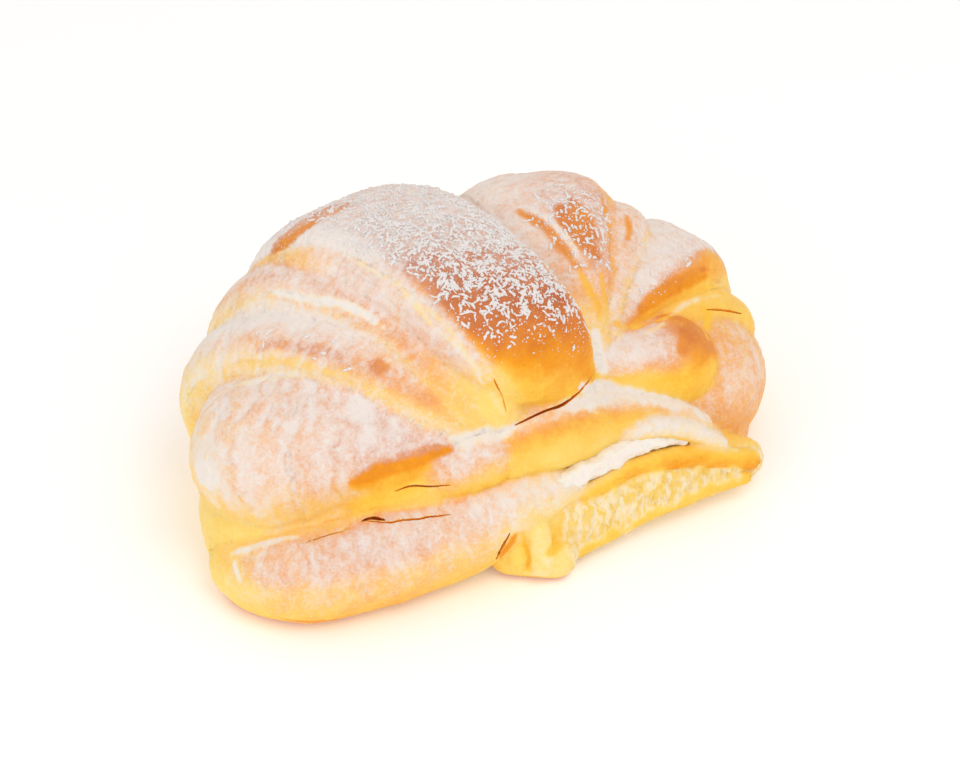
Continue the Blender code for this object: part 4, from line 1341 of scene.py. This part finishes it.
def sugar_material(colours):
    """Powdered sugar, clumped where it fell thickly."""
    # Matt and near white; its grains are too fine to see one by one, so the noise is drawn coarser.
    material, tree, place = new_material("powdered sugar")
    grain = node(tree, "TexNoise", {"Vector": place, "Scale": per_mm(0.4)}).outputs["Fac"]
    colour = node(tree, "Mix", {0: grain, 6: opaque(colours.sugar, 0.94), 7: opaque(colours.clump)},
                  data_type="RGBA").outputs[2]
    shader = node(tree, "BsdfPrincipled",
                  {"Base Color": colour, "Roughness": 0.95, "Specular IOR Level": 0.2})
    node(tree, "OutputMaterial", {"Surface": shader.outputs[0]})
    return material


def floor_material(colours):
    """Backdrop paper."""
    # Plain, matt and white, with a fibre that hardly shows; lit a little from below as on a light table.
    material, tree, place = new_material("matt white paper")
    fibre = node(tree, "TexNoise", {"Vector": place, "Scale": per_mm(2.0)}).outputs["Fac"]
    colour = node(tree, "Mix", {0: fibre, 6: opaque(colours.floor, 0.985), 7: opaque(colours.floor)},
                  data_type="RGBA").outputs[2]
    shader = node(tree, "BsdfPrincipled", {
        "Base Color": colour, "Roughness": 0.9, "Specular IOR Level": 0.1,
        "Emission Color": opaque(colours.floor), "Emission Strength": 0.12})
    node(tree, "OutputMaterial", {"Surface": shader.outputs[0]})
    return material


# The stage: camera angles in degrees, distances in metres, its target and the floor in millimetres

CAMERA_AZIMUTH = -26.0
CAMERA_ELEVATION = 38.0
CAMERA_DISTANCE = 0.581
CAMERA_TARGET = Vector((-1.10, -9.45, 31.72)) * MM
LENS = 85.0
FLOOR_REACH = 3.0 / MM
FLOOR_HEIGHT = -0.2
DAYLIGHT = (1.0, 0.985, 0.965, 1.0)
DAYLIGHT_STRENGTH = 0.76
Lamp = namedtuple("Lamp", "name place width power")
LAMPS = (Lamp("window", (0.12, -0.4, 0.8), 0.45, 1.65), Lamp("fill", (-0.75, -0.35, 0.35), 0.6, 0.9))


class CROISSANT_OT_stage(bpy.types.Operator):
    """Sets the pale floor, the soft light and the camera"""
    bl_idname = "croissant.stage"
    bl_label = "Stage"

    def execute(self, context):
        scene = context.scene
        corners = [(x, y, FLOOR_HEIGHT) for x, y in (
            (-FLOOR_REACH, -FLOOR_REACH), (FLOOR_REACH, -FLOOR_REACH),
            (FLOOR_REACH, FLOOR_REACH), (-FLOOR_REACH, FLOOR_REACH))]
        floor = placed(mesh_of("floor", corners, [np.array([(0, 1, 2, 3)])]))
        dress(floor, floor_material(scene.croissant_colours))
        world = bpy.data.worlds.new("soft daylight")
        scene.world = world
        world.use_nodes = True
        sky = world.node_tree.nodes["Background"]
        sky.inputs["Color"].default_value = DAYLIGHT
        sky.inputs["Strength"].default_value = DAYLIGHT_STRENGTH
        for name, place, width, power in LAMPS:
            lamp = bpy.data.lights.new(name, "AREA")
            lamp.shape = "SQUARE"
            lamp.size = width
            lamp.energy = power
            light = bpy.data.objects.new(name, lamp)
            light.location = place
            light.rotation_mode = "QUATERNION"
            light.rotation_quaternion = (-Vector(place)).to_track_quat("-Z", "Y")
            scene.collection.objects.link(light)
        turn, lift = math.radians(CAMERA_AZIMUTH), math.radians(CAMERA_ELEVATION)
        back = Vector((math.sin(turn) * math.cos(lift), -math.cos(turn) * math.cos(lift), math.sin(lift)))
        right = Vector((math.cos(turn), math.sin(turn), 0.0))
        camera = bpy.data.objects.new("camera", bpy.data.cameras.new("camera"))
        camera.data.lens = LENS
        camera.data.clip_start = 0.01
        turned = Matrix((right, back.cross(right), back)).transposed().to_4x4()
        camera.matrix_world = Matrix.Translation(CAMERA_TARGET + back * CAMERA_DISTANCE) @ turned
        scene.collection.objects.link(camera)
        scene.camera = camera
        scene.view_settings.view_transform = "Standard"
        return {"FINISHED"}


class CROISSANT_PT_panel(bpy.types.Panel):
    """Lists the croissant's pieces, sizes and colours"""
    bl_idname = "CROISSANT_PT_panel"
    bl_label = "Cream-filled croissant"
    bl_space_type = "VIEW_3D"
    bl_region_type = "UI"
    bl_category = "Croissant"

    def draw(self, context):
        for operator in OPERATORS:
            self.layout.operator(operator.bl_idname)
        for group in (context.scene.croissant_sizes, context.scene.croissant_colours):
            box = self.layout.box()
            for key in group.__annotations__:
                box.prop(group, key)


OPERATORS = (CROISSANT_OT_dough, CROISSANT_OT_cream, CROISSANT_OT_sugar_clumps, CROISSANT_OT_sugar_specks,
             CROISSANT_OT_stage)
CLASSES = (CroissantSizes, CroissantColours, *OPERATORS, CROISSANT_PT_panel)


def register():
    for one in CLASSES:
        bpy.utils.register_class(one)
    bpy.types.Scene.croissant_sizes = PointerProperty(type=CroissantSizes)
    bpy.types.Scene.croissant_colours = PointerProperty(type=CroissantColours)


def unregister():
    del bpy.types.Scene.croissant_sizes
    del bpy.types.Scene.croissant_colours
    for one in reversed(CLASSES):
        bpy.utils.unregister_class(one)


def main():
    register()
    bpy.ops.croissant.dough()
    bpy.ops.croissant.cream()
    bpy.ops.croissant.sugar_clumps()
    bpy.ops.croissant.sugar_specks()
    bpy.ops.croissant.stage()


if __name__ == "__main__":
    main()
